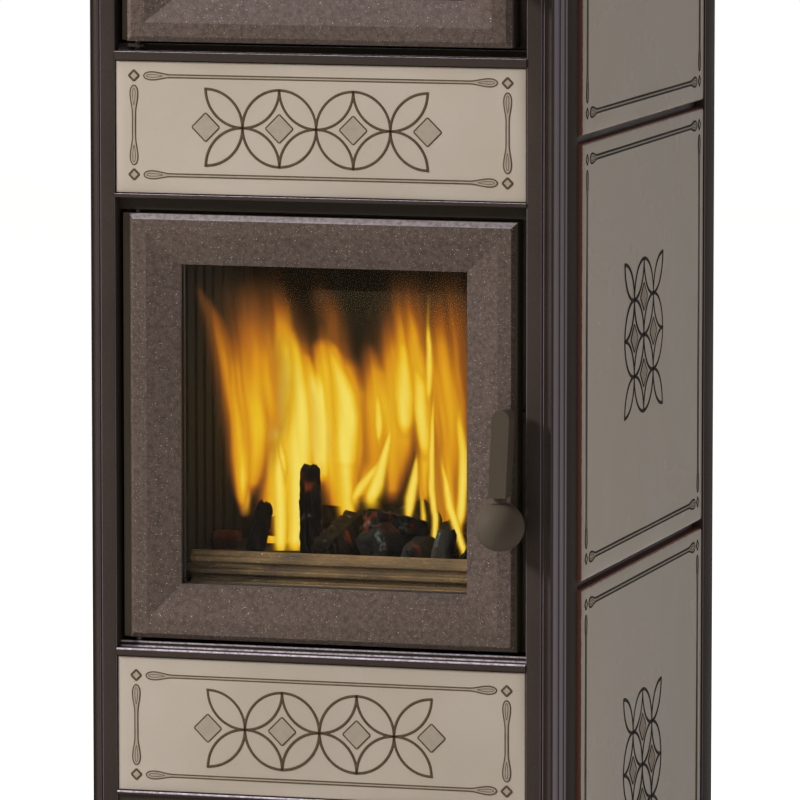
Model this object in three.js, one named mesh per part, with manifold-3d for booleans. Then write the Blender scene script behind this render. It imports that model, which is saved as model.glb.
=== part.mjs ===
// Tiled wood stove with an oven: millimetres, +Z up, the front faces -Y.
// Depths are measured from the front face of the corner posts (y = 0) and heights from the floor (z = 0).
// The finished group is then centred over its own footprint.
import * as THREE from 'three';
import { mergeVertices } from 'three/addons/utils/BufferGeometryUtils.js';
import Module from 'manifold-3d';

const wasm = await Module();
wasm.setup();

// ---------------------------------------------------------------- driving dimensions

const CLEARANCE = 0.3; // between parts that seat on or beside each other
const RUNNING = 0.6; // between parts that slide in each other
const OVER = 1; // how far a cutting shape runs past the faces it pierces

// Body
const BODY_HALF_WIDTH = 238; // centre to a line just outside the side tiles
const BODY_DEPTH = 588; // front post face to the back of the rear posts
const FOOT_HEIGHT = 15;
const FOOT_FROM_EDGE = 34;
const FOOT_PAD_RADIUS = 20;
const FOOT_PAD_HEIGHT = 8;
const FOOT_STEM_RADIUS = 7;
const PLINTH_HEIGHT = 40;
const PLINTH_SETBACK = 8;
const PLINTH_PLATE = 8;
const PLINTH_WALL = 3;

// Corner posts
const POST_WIDTH = 37.4;
const POST_WALL = 3;
const FRONT_POST_DEPTH = 69.4;
const POST_STRIP_SETBACK = 13.5; // body half width to the outer edge of a post's front strips
const POST_FLAT_WIDTH = 14;
// Two beads that step back and outward from the strip: outward and backward from its outer edge
const POST_MOULDING = [
  [0.3, 3], [0.8, 6.5], [1.3, 7.6], [2.1, 9], [3.1, 11.5], [3.9, 14], [4, 16], [3.9, 17.4],
  [4.4, 18.2], [5.3, 19.4], [6.2, 21.6], [6.7, 24], [6.6, 25.8], [6.3, 26.8], [7, 28],
];
const POST_SIDE_SETBACK = 6; // body half width to the plain side face of a post
const POST_SIDE_START = 29.5; // front face to the start of that side face
const REAR_POST_DEPTH = 41.4;
const REAR_PANEL_SETBACK = 7;

// Ceramic tiles
const TILE_THICKNESS = 10;
const TILE_EDGE = 3.5; // rounding of a tile's front edges
const TILE_SETBACK = 2; // body half width to the face of a side tile
const SIDE_TILE_SEAM = 6.6;
const SIDE_TILE_ROWS = ['lower', 'middle', 'upper'];
const SIDE_TILE_END_GAP = 0.6;
const FRONT_TILE_FACE = 1.5; // behind the post face
const FRONT_TILE_GAP = 0.4; // beside a front tile
const LOWER_TILE_HEIGHT = 128.7;
const UPPER_TILE_HEIGHT = 125.2;

// Heights of the front, from the bottom up
const DRAWER_GAP = 3;
const DRAWER_FRONT_HEIGHT = 182;
const CONTROL_STRIP_GAP = 6;
const CONTROL_STRIP_HEIGHT = 20;
const LIP_HEIGHT = 4; // of the pressed edge under a front tile
const LOWER_RAIL_HEIGHT = 7.7;
const UPPER_RAIL_HEIGHT = 8.4;
const FIRE_DOOR_HEIGHT = 403;
const OVEN_DOOR_HEIGHT = 290;
const GAP_UNDER_FIRE_DOOR = 9.6;
const GAP_OVER_FIRE_DOOR = 15.5;
const GAP_UNDER_OVEN_DOOR = 9.9;
const GAP_OVER_OVEN_DOOR = 5;
const TOP_RAIL_HEIGHT = 32;

// Pressed front panels that carry the front tiles
const PANEL_SHEET = 2.5;
const FLANGE_SHEET = 3;
const LIP_FACE = -1; // the rails stand a little proud of the posts
const CONTROL_STRIP_FACE = 2;
const TOP_RAIL_FACE = 2;
const TOP_RAIL_NOSE = 3;
const OVEN_FLANGE_DROP = 6; // oven door to the underside of the flange below it
const FIRE_FLANGE_DROP = 7; // fire door to the underside of the flange below it
const FIRE_FLANGE_RISE = 3.5; // fire door to the underside of the flange above it
const HINGE_LUG_HALF = 8;
const HINGE_LUG_FRONT = 5.5; // pin centre to the front of its lug

// Doors
const DOOR_BACK = 28; // rear face of both door frames
const DOOR_BEVEL = 5;
const DOOR_BAND = 13; // flat band between the bevel and the slope to the glass
const DOOR_SLOPE_DEPTH = 8;
const DOOR_RETURN = 4; // straight edge between the slope and the glass
const DOOR_LEDGE_FRONT = 14; // front face of the thin ledge along a door's hinge side
const DOOR_LEDGE_GAP = 3.6; // between that ledge and the post
const GLASS_THICKNESS = 4;
const GLASS_LAP = 6; // rebate for the glass, all round the frame's opening
const GLASS_PLAY = 0.5; // glass edge to the edge of its rebate
const CLAMP_WIDTH = 6;
const CLAMP_THICKNESS = 6;
const PIN_RADIUS = 3;
const PIN_FROM_EDGE = 6;
const PIN_DEPTH = 15; // length of a hinge pin inside the door
const PIN_STANDS = 8.3; // length of a hinge pin outside the door
const GASKET_WIDTH = 7.5;
const GASKET_TO_SPINDLE = 6; // spindle centre to the outer edge of the gasket

// Handles
const SPINDLE_FROM_EDGE = 8.5;
const SPINDLE_RADIUS = 4;
const ARM_WIDTH = 16.8;
const ARM_DEPTH = 22;
const ARM_STANDOFF = 14.6; // door face to the back of the arm
const ARM_HUB_SHIFT = 3.8; // arm centre line to the right of the spindle
const ARM_TOP_ABOVE_HUB = 12;
const ARM_LENGTH = 82; // top of the arm to its lower end
const ARM_LEAN = 0.047; // sideways shift per millimetre going down
const NECK_RADIUS = 6.4;
const NECK_LENGTH = 6;
const BALL_RADIUS = 23.3;
const BALL_FLAT = 1.8; // cut off the top of the ball where the neck meets it
const LATCH_HUB_RADIUS = 5.4;
const LATCH_REACH = 16;
const LATCH_WIDTH = 9;
const LATCH_THICKNESS = 4.5;
const LATCH_GAP = 1.5; // behind the door frame

// Firebox and smoke casing
const SEAL_DEPTH = 8; // back of a door frame to the casing
const CASING_WALL = 4;
const CASING_SETBACK = 4.6; // inner face of a front post to the side of the casing
const CASING_FROM_BACK = 148;
const BRICK_THICKNESS = 27.7;
const FIREBOX_FROM_BACK = 110; // back of the casing to the face of the rear brick
const HEARTH_PLATE = 8;
const HEARTH_FRONT = 60;
const GRATE_HALF = 90;
const GRATE_FRONT = 120;
const GRATE_TO_BRICK = 40;
const GRATE_PLATE = 7;
const GRATE_SHELF = 6; // ledge that carries the grate, all round
const GRATE_RECESS_FLOOR = 2; // thickness of that ledge
const GRATE_SLOTS = 9;
const GRATE_SLOT_WIDTH = 8;
const GRATE_SLOT_END = 18;
const RUNNER_INNER = 119.7; // centre to the legs under the hearth plate
const RUNNER_WIDTH = 6;
const HEARTH_TAIL = 20; // reach of the hearth plate behind the rear brick
const BAFFLE_PLATE = 7;
const BAFFLE_FRONT = 100;
const GUARD_SETBACK = 21.7; // edge of the fire mouth to the end of the log guard
const GUARD_Y = [44, 54];
const GUARD_HEIGHT = 37.2;
const GUARD_RIBS = [[0.2, 8.7], [14.7, 20.5], [26.2, 32.2]]; // from the underside of the guard
const GUARD_LEG = 6;
const RIB_DEPTH = 4.5;
const PAN_HALF = 119;
const PAN_TAIL = 15; // reach of the ash pan behind the face of the rear brick
const PAN_SHEET = 1.5;
const PAN_GRIP_HALF = 30;
const PAN_GRIP_REACH = 4;
const PAN_GRIP_DROP = [12, 9]; // below the rim

// Oven
const OVEN_SETBACK = 36; // side of the casing to the side of the oven liner
const OVEN_FROM_BACK = 40; // back of the casing to the back of the oven liner
const OVEN_SHEET = 2.5;
const OVEN_FLANGE = 2.5;
const OVEN_FLANGE_SHEET = 1.2;
const SHELF_RAIL_HEIGHT = 106;
const SHELF_RAIL = 6;
const SHELF_RAIL_FRONT = 60;
const SHELF_RAIL_FROM_BACK = 12;
const RACK_GAPS = 9;
const RACK_BAR = 4;
const RACK_INSET = [4, 2]; // rack to the front and rear ends of its rails

// Top
const CORNICE_HEIGHT = 35.4;
const CORNICE_SIDE = 14; // width that the hollow under the top reaches past the front opening
const CORNICE_END = 22;
const TOP_PLATE = 12;
const TOP_OVERHANG = 8;
const FLUE_RADIUS = 75;
const FLUE_WALL = 3;
const FLUE_FROM_BACK = 110; // back of the casing to the centre of the flue
const FLUE_STANDS = 38; // above the top plate
const FLUE_FLANGE_RADIUS = 92;

// Wood drawer and controls
const DRAWER_SETBACK = 3.6; // inner face of a front post to the end of the drawer front
const DRAWER_FRONT_THICKNESS = 12.5;
const DRAWER_EDGE = 3;
const DRAWER_BOX_SETBACK = 12; // end of the drawer front to the side of its box
const DRAWER_BOX_DROP = 50; // top of the drawer front to the rim of its box
const DRAWER_FROM_BACK = 118;
const DRAWER_SHEET = 3;
const DRAWER_KNOB_RADIUS = 13;
const DRAWER_KNOB_STEM = 7;
const DRAWER_KNOB_REACH = 14;
const DRAWER_KNOB_DROP = 35;
const CONTROL_X = 60;
const CONTROL_ROD_RADIUS = 4;
const CONTROL_ROD_END = 110;
const CONTROL_KNOB_RADIUS = 8;
const CONTROL_KNOB_LENGTH = 12;
const BYPASS_X = 150;
const BYPASS_ROD_LIFT = 3.5; // casing to the underside of the bypass rod
const BYPASS_ROD_END = 200;

// Worked out from the above: widths
const FRONT_OPENING_HALF = BODY_HALF_WIDTH - POST_WIDTH;
const FRONT_FIT_HALF = FRONT_OPENING_HALF - CLEARANCE;
const POST_STRIP_EDGE = BODY_HALF_WIDTH - POST_STRIP_SETBACK;
const POST_SIDE_HALF = BODY_HALF_WIDTH - POST_SIDE_SETBACK;
const TILE_FACE_HALF = BODY_HALF_WIDTH - TILE_SETBACK;
const TILE_BACK_HALF = TILE_FACE_HALF - TILE_THICKNESS;
const CASING_HALF = FRONT_OPENING_HALF - CASING_SETBACK;
const INNER_HALF = CASING_HALF - CASING_WALL - CLEARANCE;
const FIRE_MOUTH_HALF = INNER_HALF - BRICK_THICKNESS - CLEARANCE;
const GUARD_HALF = FIRE_MOUTH_HALF - GUARD_SETBACK;
const OVEN_HALF = CASING_HALF - OVEN_SETBACK;
const DRAWER_HALF = FRONT_OPENING_HALF - DRAWER_SETBACK;
const DRAWER_BOX_HALF = DRAWER_HALF - DRAWER_BOX_SETBACK;

// Worked out from the above: depths
const REAR_POST_FRONT = BODY_DEPTH - REAR_POST_DEPTH;
const PANEL_FRONT = FRONT_TILE_FACE + TILE_THICKNESS + CLEARANCE;
const PANEL_BACK = PANEL_FRONT + PANEL_SHEET;
const CASING_FRONT = DOOR_BACK + SEAL_DEPTH;
const CASING_INNER_FRONT = CASING_FRONT + CASING_WALL;
const FLANGE_BACK = CASING_FRONT - CLEARANCE;
const CASING_BACK = BODY_DEPTH - CASING_FROM_BACK;
const FIREBOX_BACK = CASING_BACK - FIREBOX_FROM_BACK;
const GRATE_Y = [GRATE_FRONT, FIREBOX_BACK - GRATE_TO_BRICK];
const OVEN_BACK = CASING_BACK - OVEN_FROM_BACK;
const FLUE_Y = CASING_BACK - FLUE_FROM_BACK;
const DRAWER_BACK = BODY_DEPTH - DRAWER_FROM_BACK;

// Worked out from the above: heights
const POST_BOTTOM = FOOT_HEIGHT + PLINTH_HEIGHT;
const stack = (start, height) => [start, start + height];
const DRAWER_FRONT_Z = stack(POST_BOTTOM + DRAWER_GAP, DRAWER_FRONT_HEIGHT);
const CONTROL_STRIP_BOTTOM = DRAWER_FRONT_Z[1] + CONTROL_STRIP_GAP;
const LOWER_LIP_BOTTOM = CONTROL_STRIP_BOTTOM + CONTROL_STRIP_HEIGHT;
const LOWER_TILE_Z = stack(LOWER_LIP_BOTTOM + LIP_HEIGHT, LOWER_TILE_HEIGHT);
const LOWER_RAIL_TOP = LOWER_TILE_Z[1] + LOWER_RAIL_HEIGHT;
const FIRE_DOOR_Z = stack(LOWER_RAIL_TOP + GAP_UNDER_FIRE_DOOR, FIRE_DOOR_HEIGHT);
const UPPER_LIP_BOTTOM = FIRE_DOOR_Z[1] + GAP_OVER_FIRE_DOOR;
const UPPER_TILE_Z = stack(UPPER_LIP_BOTTOM + LIP_HEIGHT, UPPER_TILE_HEIGHT);
const UPPER_RAIL_TOP = UPPER_TILE_Z[1] + UPPER_RAIL_HEIGHT;
const OVEN_DOOR_Z = stack(UPPER_RAIL_TOP + GAP_UNDER_OVEN_DOOR, OVEN_DOOR_HEIGHT);
const TOP_RAIL_BOTTOM = OVEN_DOOR_Z[1] + GAP_OVER_OVEN_DOOR;
const POST_TOP = TOP_RAIL_BOTTOM + TOP_RAIL_HEIGHT;
const TOP_PLATE_Z = POST_TOP + CORNICE_HEIGHT + CLEARANCE;
const SIDE_TILE_PITCH = (POST_TOP - POST_BOTTOM + SIDE_TILE_SEAM) / SIDE_TILE_ROWS.length;
const CONTROL_Z = (CONTROL_STRIP_BOTTOM + LOWER_LIP_BOTTOM) / 2;

// Each door: its outline, the opening for its glass, its hinge, its handle and its seal
const FIRE_DOOR = {
  half: FRONT_OPENING_HALF - 11.1,
  bottom: FIRE_DOOR_Z[0],
  top: FIRE_DOOR_Z[1],
  face: 4.6,
  openHalf: FRONT_OPENING_HALF - 60.6,
  openBottom: FIRE_DOOR_Z[0] + 52,
  openTop: FIRE_DOOR_Z[1] - 47.5,
  pinY: 18,
  hubZ: FIRE_DOOR_Z[0] + 220,
  sealZ: [FIRE_DOOR_Z[0] + 3, FIRE_DOOR_Z[1] - 8],
};
const OVEN_DOOR = {
  half: FRONT_OPENING_HALF - 13.6,
  bottom: OVEN_DOOR_Z[0],
  top: OVEN_DOOR_Z[1],
  face: -6,
  openHalf: FRONT_OPENING_HALF - 61.6,
  openBottom: OVEN_DOOR_Z[0] + 43,
  openTop: OVEN_DOOR_Z[1] - 43,
  pinY: 12,
  hubZ: OVEN_DOOR_Z[0] + 175,
  sealZ: [OVEN_DOOR_Z[0] + 9, OVEN_DOOR_Z[1] - 8],
};

// Levels inside, tied to the door in front of them
const LOWER_FLANGE_Z = FIRE_DOOR.bottom - FIRE_FLANGE_DROP;
const MIDDLE_FLANGE_Z = FIRE_DOOR.top + FIRE_FLANGE_RISE;
const UPPER_FLANGE_Z = OVEN_DOOR.bottom - OVEN_FLANGE_DROP;
const CASING_FLANGE_BOTTOM = LOWER_FLANGE_Z + FLANGE_SHEET + CLEARANCE;
const CASING_BOTTOM = FIRE_DOOR.bottom + 9;
const CASING_FLOOR = CASING_BOTTOM + CASING_WALL;
const CASING_TOP = TOP_RAIL_BOTTOM + 13;
const HEARTH_TOP = FIRE_DOOR.bottom + 58;
const GUARD_BOTTOM = FIRE_DOOR.bottom + 42.8;
const PAN_TOP = HEARTH_TOP - 16.5;
const FIRE_MOUTH_TOP = FIRE_DOOR.top - 19;
const BRICK_TOP = FIRE_DOOR.top - 29;
const OVEN_Z = [OVEN_DOOR.bottom + 22, OVEN_DOOR.top - 21];
const SHELF_RAIL_Z = OVEN_Z[0] + SHELF_RAIL_HEIGHT;
const BYPASS_Z = CASING_TOP + CONTROL_ROD_RADIUS + BYPASS_ROD_LIFT;

const FRONTMOST = OVEN_DOOR.face - ARM_STANDOFF - ARM_DEPTH / 2 - BALL_RADIUS;
const CENTRE_Y = (FRONTMOST + BODY_DEPTH) / 2;

// ---------------------------------------------------------------- materials

const finish = (name, color, roughness, metalness) =>
  new THREE.MeshStandardMaterial({ name, color, roughness, metalness });
const brownPaint = () => finish('brown_paint', 0x4a403e, 0.45, 0.2);
const doorPaint = () => finish('door_paint', 0x5c514c, 0.5, 0.4);
const glaze = () => finish('glaze', 0xb8ae9e, 0.25, 0);
const castIron = () => finish('cast_iron', 0x2b2a27, 0.8, 0.3);
const darkSteel = () => finish('dark_steel', 0x34312e, 0.6, 0.5);
const brick = () => finish('firebrick', 0x57534a, 0.9, 0);
const fireGlass = () => finish('fire_glass', 0x2a2620, 0.05, 0);
const rope = () => finish('seal_rope', 0x3a3834, 0.95, 0);
const handlePaint = () => finish('handle_paint', 0x463e36, 0.6, 0.1);
const bronze = () => finish('bronze', 0x8a6a3c, 0.5, 0.7);
const steel = () => finish('steel', 0xa8a59f, 0.35, 0.9);

// ---------------------------------------------------------------- geometry helpers

/** A closed solid for the boolean library, with shared corners merged. */
function solid(geometry) {
  const bare = geometry.index ? geometry.clone() : geometry;
  bare.deleteAttribute('normal');
  bare.deleteAttribute('uv');
  const merged = mergeVertices(bare, 1e-4);
  return new wasm.Manifold(new wasm.Mesh({
    numProp: 3,
    vertProperties: new Float32Array(merged.attributes.position.array),
    triVerts: new Uint32Array(merged.index.array),
  }));
}

/** A three.js geometry from a boolean result. */
function surface(manifold) {
  const mesh = manifold.getMesh();
  const geometry = new THREE.BufferGeometry();
  geometry.setAttribute('position', new THREE.BufferAttribute(new Float32Array(mesh.vertProperties), 3));
  geometry.setIndex(new THREE.BufferAttribute(new Uint32Array(mesh.triVerts), 1));
  geometry.computeVertexNormals();
  return geometry;
}

const join = (first, ...rest) => surface(rest.reduce((sum, piece) => sum.add(solid(piece)), solid(first)));
const cut = (base, ...tools) =>
  surface(tools.reduce((left, tool) => left.subtract(solid(tool)), solid(base)));

/** A box given by its limits. */
function box(x0, x1, y0, y1, z0, z1) {
  const geometry = new THREE.BoxGeometry(x1 - x0, y1 - y0, z1 - z0);
  return geometry.translate((x0 + x1) / 2, (y0 + y1) / 2, (z0 + z1) / 2);
}

/** A box centred on x = 0. */
const wideBox = (half, y0, y1, z0, z1) => box(-half, half, y0, y1, z0, z1);

/** A solid of revolution, from [radius, height] points that start and end on its axis. */
const turned = (points, sides = 24) =>
  new THREE.LatheGeometry(points.map(([radius, height]) => new THREE.Vector2(radius, height)), sides);

/** A round bar along z from z0 to z1. */
const post = (x, y, radius, z0, z1, sides = 20) =>
  new THREE.CylinderGeometry(radius, radius, z1 - z0, sides)
    .rotateX(Math.PI / 2)
    .translate(x, y, (z0 + z1) / 2);

/** A round bar along y from y0 to y1. */
const rod = (x, z, radius, y0, y1, sides = 20) =>
  new THREE.CylinderGeometry(radius, radius, y1 - y0, sides).translate(x, (y0 + y1) / 2, z);

/** A vertical bar of the given plan outline, with an optional hole. */
function column(outline, z0, z1, hole) {
  const shape = new THREE.Shape(outline.map(([x, y]) => new THREE.Vector2(x, y)));
  if (hole) {
    shape.holes.push(new THREE.Path(hole.map(([x, y]) => new THREE.Vector2(x, y))));
  }
  const geometry = new THREE.ExtrudeGeometry(shape, { depth: z1 - z0, bevelEnabled: false });
  return geometry.translate(0, 0, z0);
}

/**
 * A solid through a row of rectangles. Each section is { a: [low, high], b: [low, high], c },
 * and place turns (a, b, c) into x, y and z.
 */
function loft(sections, place) {
  const corners = sections.flatMap(({ a, b, c }) => [
    place(a[0], b[0], c), place(a[1], b[0], c), place(a[1], b[1], c), place(a[0], b[1], c),
  ]);
  const faces = [[0, 2, 1], [0, 3, 2]];
  for (let ring = 0; ring < sections.length - 1; ring += 1) {
    for (let side = 0; side < 4; side += 1) {
      const here = ring * 4 + side;
      const next = ring * 4 + (side + 1) % 4;
      faces.push([here, next, next + 4], [here, next + 4, here + 4]);
    }
  }
  const last = (sections.length - 1) * 4;
  faces.push([last, last + 1, last + 2], [last, last + 2, last + 3]);
  const flipped = volumeOf(corners, faces) < 0;
  const index = faces.flatMap(([p, q, r]) => (flipped ? [p, r, q] : [p, q, r]));
  const geometry = new THREE.BufferGeometry();
  geometry.setAttribute('position', new THREE.Float32BufferAttribute(corners.flat(), 3));
  geometry.setIndex(index);
  geometry.computeVertexNormals();
  return geometry;
}

/** Signed volume of a triangle mesh. */
function volumeOf(corners, faces) {
  return faces.reduce((sum, [p, q, r]) => {
    const [a, b, c] = [p, q, r].map((corner) => new THREE.Vector3(...corners[corner]));
    return sum + a.dot(b.cross(c)) / 6;
  }, 0);
}

const facingFront = (x, z, y) => [x, y, z];
const facingUp = (x, y, z) => [x, y, z];
const inset = ([low, high], by) => [low + by, high - by];

/** A tile of the given width and height limits, its face at `face`, rounded towards it over TILE_EDGE. */
function tile(a, b, face, outward, place) {
  const shoulder = TILE_EDGE * 0.3;
  const steps = [[-TILE_THICKNESS, 0], [-TILE_EDGE, 0], [-shoulder, shoulder], [0, TILE_EDGE]];
  const sections = steps.map(([depth, by]) => ({
    a: inset(a, by), b: inset(b, by), c: face + depth * outward,
  }));
  return loft(sections, place);
}

// ---------------------------------------------------------------- the assembly

const stove = new THREE.Group();
stove.position.y = -CENTRE_Y;

function add(name, geometry, material, parent = stove) {
  const mesh = new THREE.Mesh(geometry, material);
  mesh.name = name;
  parent.add(mesh);
}

// ---- base

function makeBase() {
  const half = BODY_HALF_WIDTH - PLINTH_SETBACK / 2;
  const back = BODY_DEPTH - PLINTH_SETBACK / 2;
  const hollowY = [PLINTH_SETBACK + PLINTH_WALL, back - PLINTH_WALL];
  const tray = cut(
    wideBox(half, PLINTH_SETBACK, back, FOOT_HEIGHT, POST_BOTTOM),
    wideBox(half - PLINTH_WALL, ...hollowY, 0, POST_BOTTOM - PLINTH_PLATE),
  );
  add('plinth', tray, brownPaint());
  const stemTop = POST_BOTTOM - PLINTH_PLATE - CLEARANCE;
  const profile = [
    [0, 0], [FOOT_PAD_RADIUS, 0], [FOOT_PAD_RADIUS, FOOT_PAD_HEIGHT - 2],
    [FOOT_PAD_RADIUS - 3, FOOT_PAD_HEIGHT], [FOOT_STEM_RADIUS, FOOT_PAD_HEIGHT],
    [FOOT_STEM_RADIUS, stemTop], [0, stemTop],
  ];
  for (const [side, x] of [['left', -1], ['right', 1]]) {
    for (const [end, y] of [['front', PLINTH_SETBACK + FOOT_FROM_EDGE], ['rear', back - FOOT_FROM_EDGE]]) {
      const foot = turned(profile).rotateX(Math.PI / 2);
      add(`foot_${end}_${side}`, foot.translate(x * (half - FOOT_FROM_EDGE), y, 0), castIron());
    }
  }
}

// ---- corner posts

/** Plan outline of the right front post: flat, groove, hollow strip, two beads and plain side. */
function frontPostOutline() {
  const inner = FRONT_OPENING_HALF;
  const flatEnd = inner + POST_FLAT_WIDTH;
  const strip = POST_STRIP_EDGE;
  const face = [
    [inner, 1], [inner + 1, 0], [flatEnd, 0], [flatEnd + 0.5, 1.7], [flatEnd + 1.9, 1.7],
    [flatEnd + 2.5, 0.1], [flatEnd + 3.4, 0], [flatEnd + 4.8, 0.9], [flatEnd + 7, 1.4],
    [strip - 1.3, 0.8], [strip - 0.4, 0.1], [strip, 0.6],
  ];
  const moulding = POST_MOULDING.map(([outward, backward]) => [strip + outward, backward]);
  const side = [[POST_SIDE_HALF, POST_SIDE_START], [POST_SIDE_HALF, FRONT_POST_DEPTH]];
  return [...face, ...moulding, ...side, [inner, FRONT_POST_DEPTH]];
}

const mirrored = (outline) => outline.map(([x, y]) => [-x, y]).reverse();
const rectangle = (x0, x1, y0, y1) => [[x0, y0], [x1, y0], [x1, y1], [x0, y1]];

function makePosts() {
  const bottom = POST_BOTTOM + CLEARANCE;
  const inner = FRONT_OPENING_HALF + POST_WALL;
  const outer = POST_STRIP_EDGE - POST_WALL;
  const frontHole = rectangle(inner, outer, POST_WALL + 2, FRONT_POST_DEPTH - POST_WALL);
  const rearOuter = TILE_FACE_HALF + 1;
  const rear = rectangle(FRONT_OPENING_HALF, rearOuter, REAR_POST_FRONT, BODY_DEPTH);
  const rearHoleY = [REAR_POST_FRONT + POST_WALL, BODY_DEPTH - POST_WALL];
  const rearHole = rectangle(inner, rearOuter - POST_WALL, ...rearHoleY);
  const front = frontPostOutline();
  add('post_front_right', column(front, bottom, POST_TOP, frontHole), brownPaint());
  add('post_front_left', column(mirrored(front), bottom, POST_TOP, mirrored(frontHole)), brownPaint());
  add('post_rear_right', column(rear, bottom, POST_TOP, rearHole), brownPaint());
  add('post_rear_left', column(mirrored(rear), bottom, POST_TOP, mirrored(rearHole)), brownPaint());
}

// ---- panels and rails

const pinX = (door) => PIN_FROM_EDGE - door.half;
const hingeHole = (door, z0, z1) => post(pinX(door), door.pinY, PIN_RADIUS + CLEARANCE, z0, z1);
const flangeHole = (door, z) => hingeHole(door, z - OVER, z + FLANGE_SHEET + OVER);
const controlHole = (x, z, y0, y1) => rod(x, z, CONTROL_ROD_RADIUS + CLEARANCE, y0 - OVER, y1 + OVER);

/** The sheet behind a front tile with the two lips that hold the tile. */
const tilePanel = (bottom, top, lipBottom, tileZ, railTop) => [
  wideBox(FRONT_FIT_HALF, PANEL_FRONT, PANEL_BACK, bottom, top),
  wideBox(FRONT_FIT_HALF, LIP_FACE, PANEL_BACK, tileZ[1] + CLEARANCE, railTop),
  wideBox(FRONT_FIT_HALF, LIP_FACE, PANEL_BACK, lipBottom, tileZ[0] - CLEARANCE),
];

function makePanels() {
  const half = FRONT_FIT_HALF;
  const flange = (front, z) => wideBox(half, front, FLANGE_BACK, z, z + FLANGE_SHEET);
  const ovenPin = pinX(OVEN_DOOR);
  const upperTop = UPPER_FLANGE_Z + FLANGE_SHEET;
  const upper = join(
    ...tilePanel(MIDDLE_FLANGE_Z, upperTop, UPPER_LIP_BOTTOM, UPPER_TILE_Z, UPPER_RAIL_TOP),
    flange(PANEL_FRONT, UPPER_FLANGE_Z),
    flange(PANEL_FRONT, MIDDLE_FLANGE_Z),
    box(ovenPin - HINGE_LUG_HALF, ovenPin + HINGE_LUG_HALF, OVEN_DOOR.pinY - HINGE_LUG_FRONT, PANEL_BACK,
      UPPER_FLANGE_Z, upperTop),
  );
  const upperHoles = [
    hingeHole(OVEN_DOOR, OVEN_DOOR.bottom - PIN_STANDS - OVER, upperTop + OVER),
    flangeHole(FIRE_DOOR, MIDDLE_FLANGE_Z),
    hingeHole(FIRE_DOOR, MIDDLE_FLANGE_Z, FIRE_DOOR.top + PIN_STANDS + OVER),
  ];
  add('front_panel_upper', cut(upper, ...upperHoles), brownPaint());

  const lower = join(
    ...tilePanel(CONTROL_STRIP_BOTTOM, LOWER_FLANGE_Z + FLANGE_SHEET, LOWER_LIP_BOTTOM, LOWER_TILE_Z,
      LOWER_RAIL_TOP),
    wideBox(half, CONTROL_STRIP_FACE, PANEL_BACK, CONTROL_STRIP_BOTTOM, LOWER_LIP_BOTTOM + OVER),
    flange(PANEL_FRONT, LOWER_FLANGE_Z),
  );
  const lowerHoles = [
    hingeHole(FIRE_DOOR, FIRE_DOOR.bottom - PIN_STANDS - OVER, LOWER_FLANGE_Z + FLANGE_SHEET + OVER),
    controlHole(-CONTROL_X, CONTROL_Z, LIP_FACE, PANEL_BACK),
    controlHole(CONTROL_X, CONTROL_Z, LIP_FACE, PANEL_BACK),
  ];
  add('front_panel_lower', cut(lower, ...lowerHoles), brownPaint());

  const rail = join(
    wideBox(half, TOP_RAIL_FACE, TOP_RAIL_FACE + FLANGE_SHEET, TOP_RAIL_BOTTOM, POST_TOP),
    flange(TOP_RAIL_FACE - TOP_RAIL_NOSE, TOP_RAIL_BOTTOM),
  );
  const railHoles = [
    flangeHole(OVEN_DOOR, TOP_RAIL_BOTTOM),
    controlHole(BYPASS_X, BYPASS_Z, TOP_RAIL_FACE, TOP_RAIL_FACE + FLANGE_SHEET),
  ];
  add('rail_top', cut(rail, ...railHoles), brownPaint());

  const rearBack = BODY_DEPTH - REAR_PANEL_SETBACK;
  const sheetTop = POST_TOP - CLEARANCE;
  const sheetBottom = POST_BOTTOM + CLEARANCE;
  add('rear_panel', wideBox(half, rearBack - FLANGE_SHEET, rearBack, sheetBottom, sheetTop), darkSteel());
  const outer = TILE_BACK_HALF - CLEARANCE;
  const sheetFront = FRONT_POST_DEPTH + CLEARANCE;
  const sheetBack = REAR_POST_FRONT - CLEARANCE;
  const side = (x0, x1) => box(x0, x1, sheetFront, sheetBack, sheetBottom, sheetTop);
  add('side_panel_right', side(outer - FLANGE_SHEET, outer), darkSteel());
  add('side_panel_left', side(-outer, FLANGE_SHEET - outer), darkSteel());
}

// ---- tiles

function makeTiles() {
  const y = inset([FRONT_POST_DEPTH, REAR_POST_FRONT], SIDE_TILE_END_GAP);
  SIDE_TILE_ROWS.forEach((row, step) => {
    const base = POST_BOTTOM + step * SIDE_TILE_PITCH;
    const z = [base + (step === 0 ? CLEARANCE : 0), base + SIDE_TILE_PITCH - SIDE_TILE_SEAM];
    for (const [side, sign] of [['right', 1], ['left', -1]]) {
      const place = (a, b, c) => [c * sign, a, b];
      add(`side_tile_${side}_${row}`, tile(y, z, TILE_FACE_HALF, 1, place), glaze());
    }
  });
  const x = inset([-FRONT_OPENING_HALF, FRONT_OPENING_HALF], FRONT_TILE_GAP);
  add('front_tile_upper', tile(x, UPPER_TILE_Z, FRONT_TILE_FACE, -1, facingFront), glaze());
  add('front_tile_lower', tile(x, LOWER_TILE_Z, FRONT_TILE_FACE, -1, facingFront), glaze());
}

// ---- firebox

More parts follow.
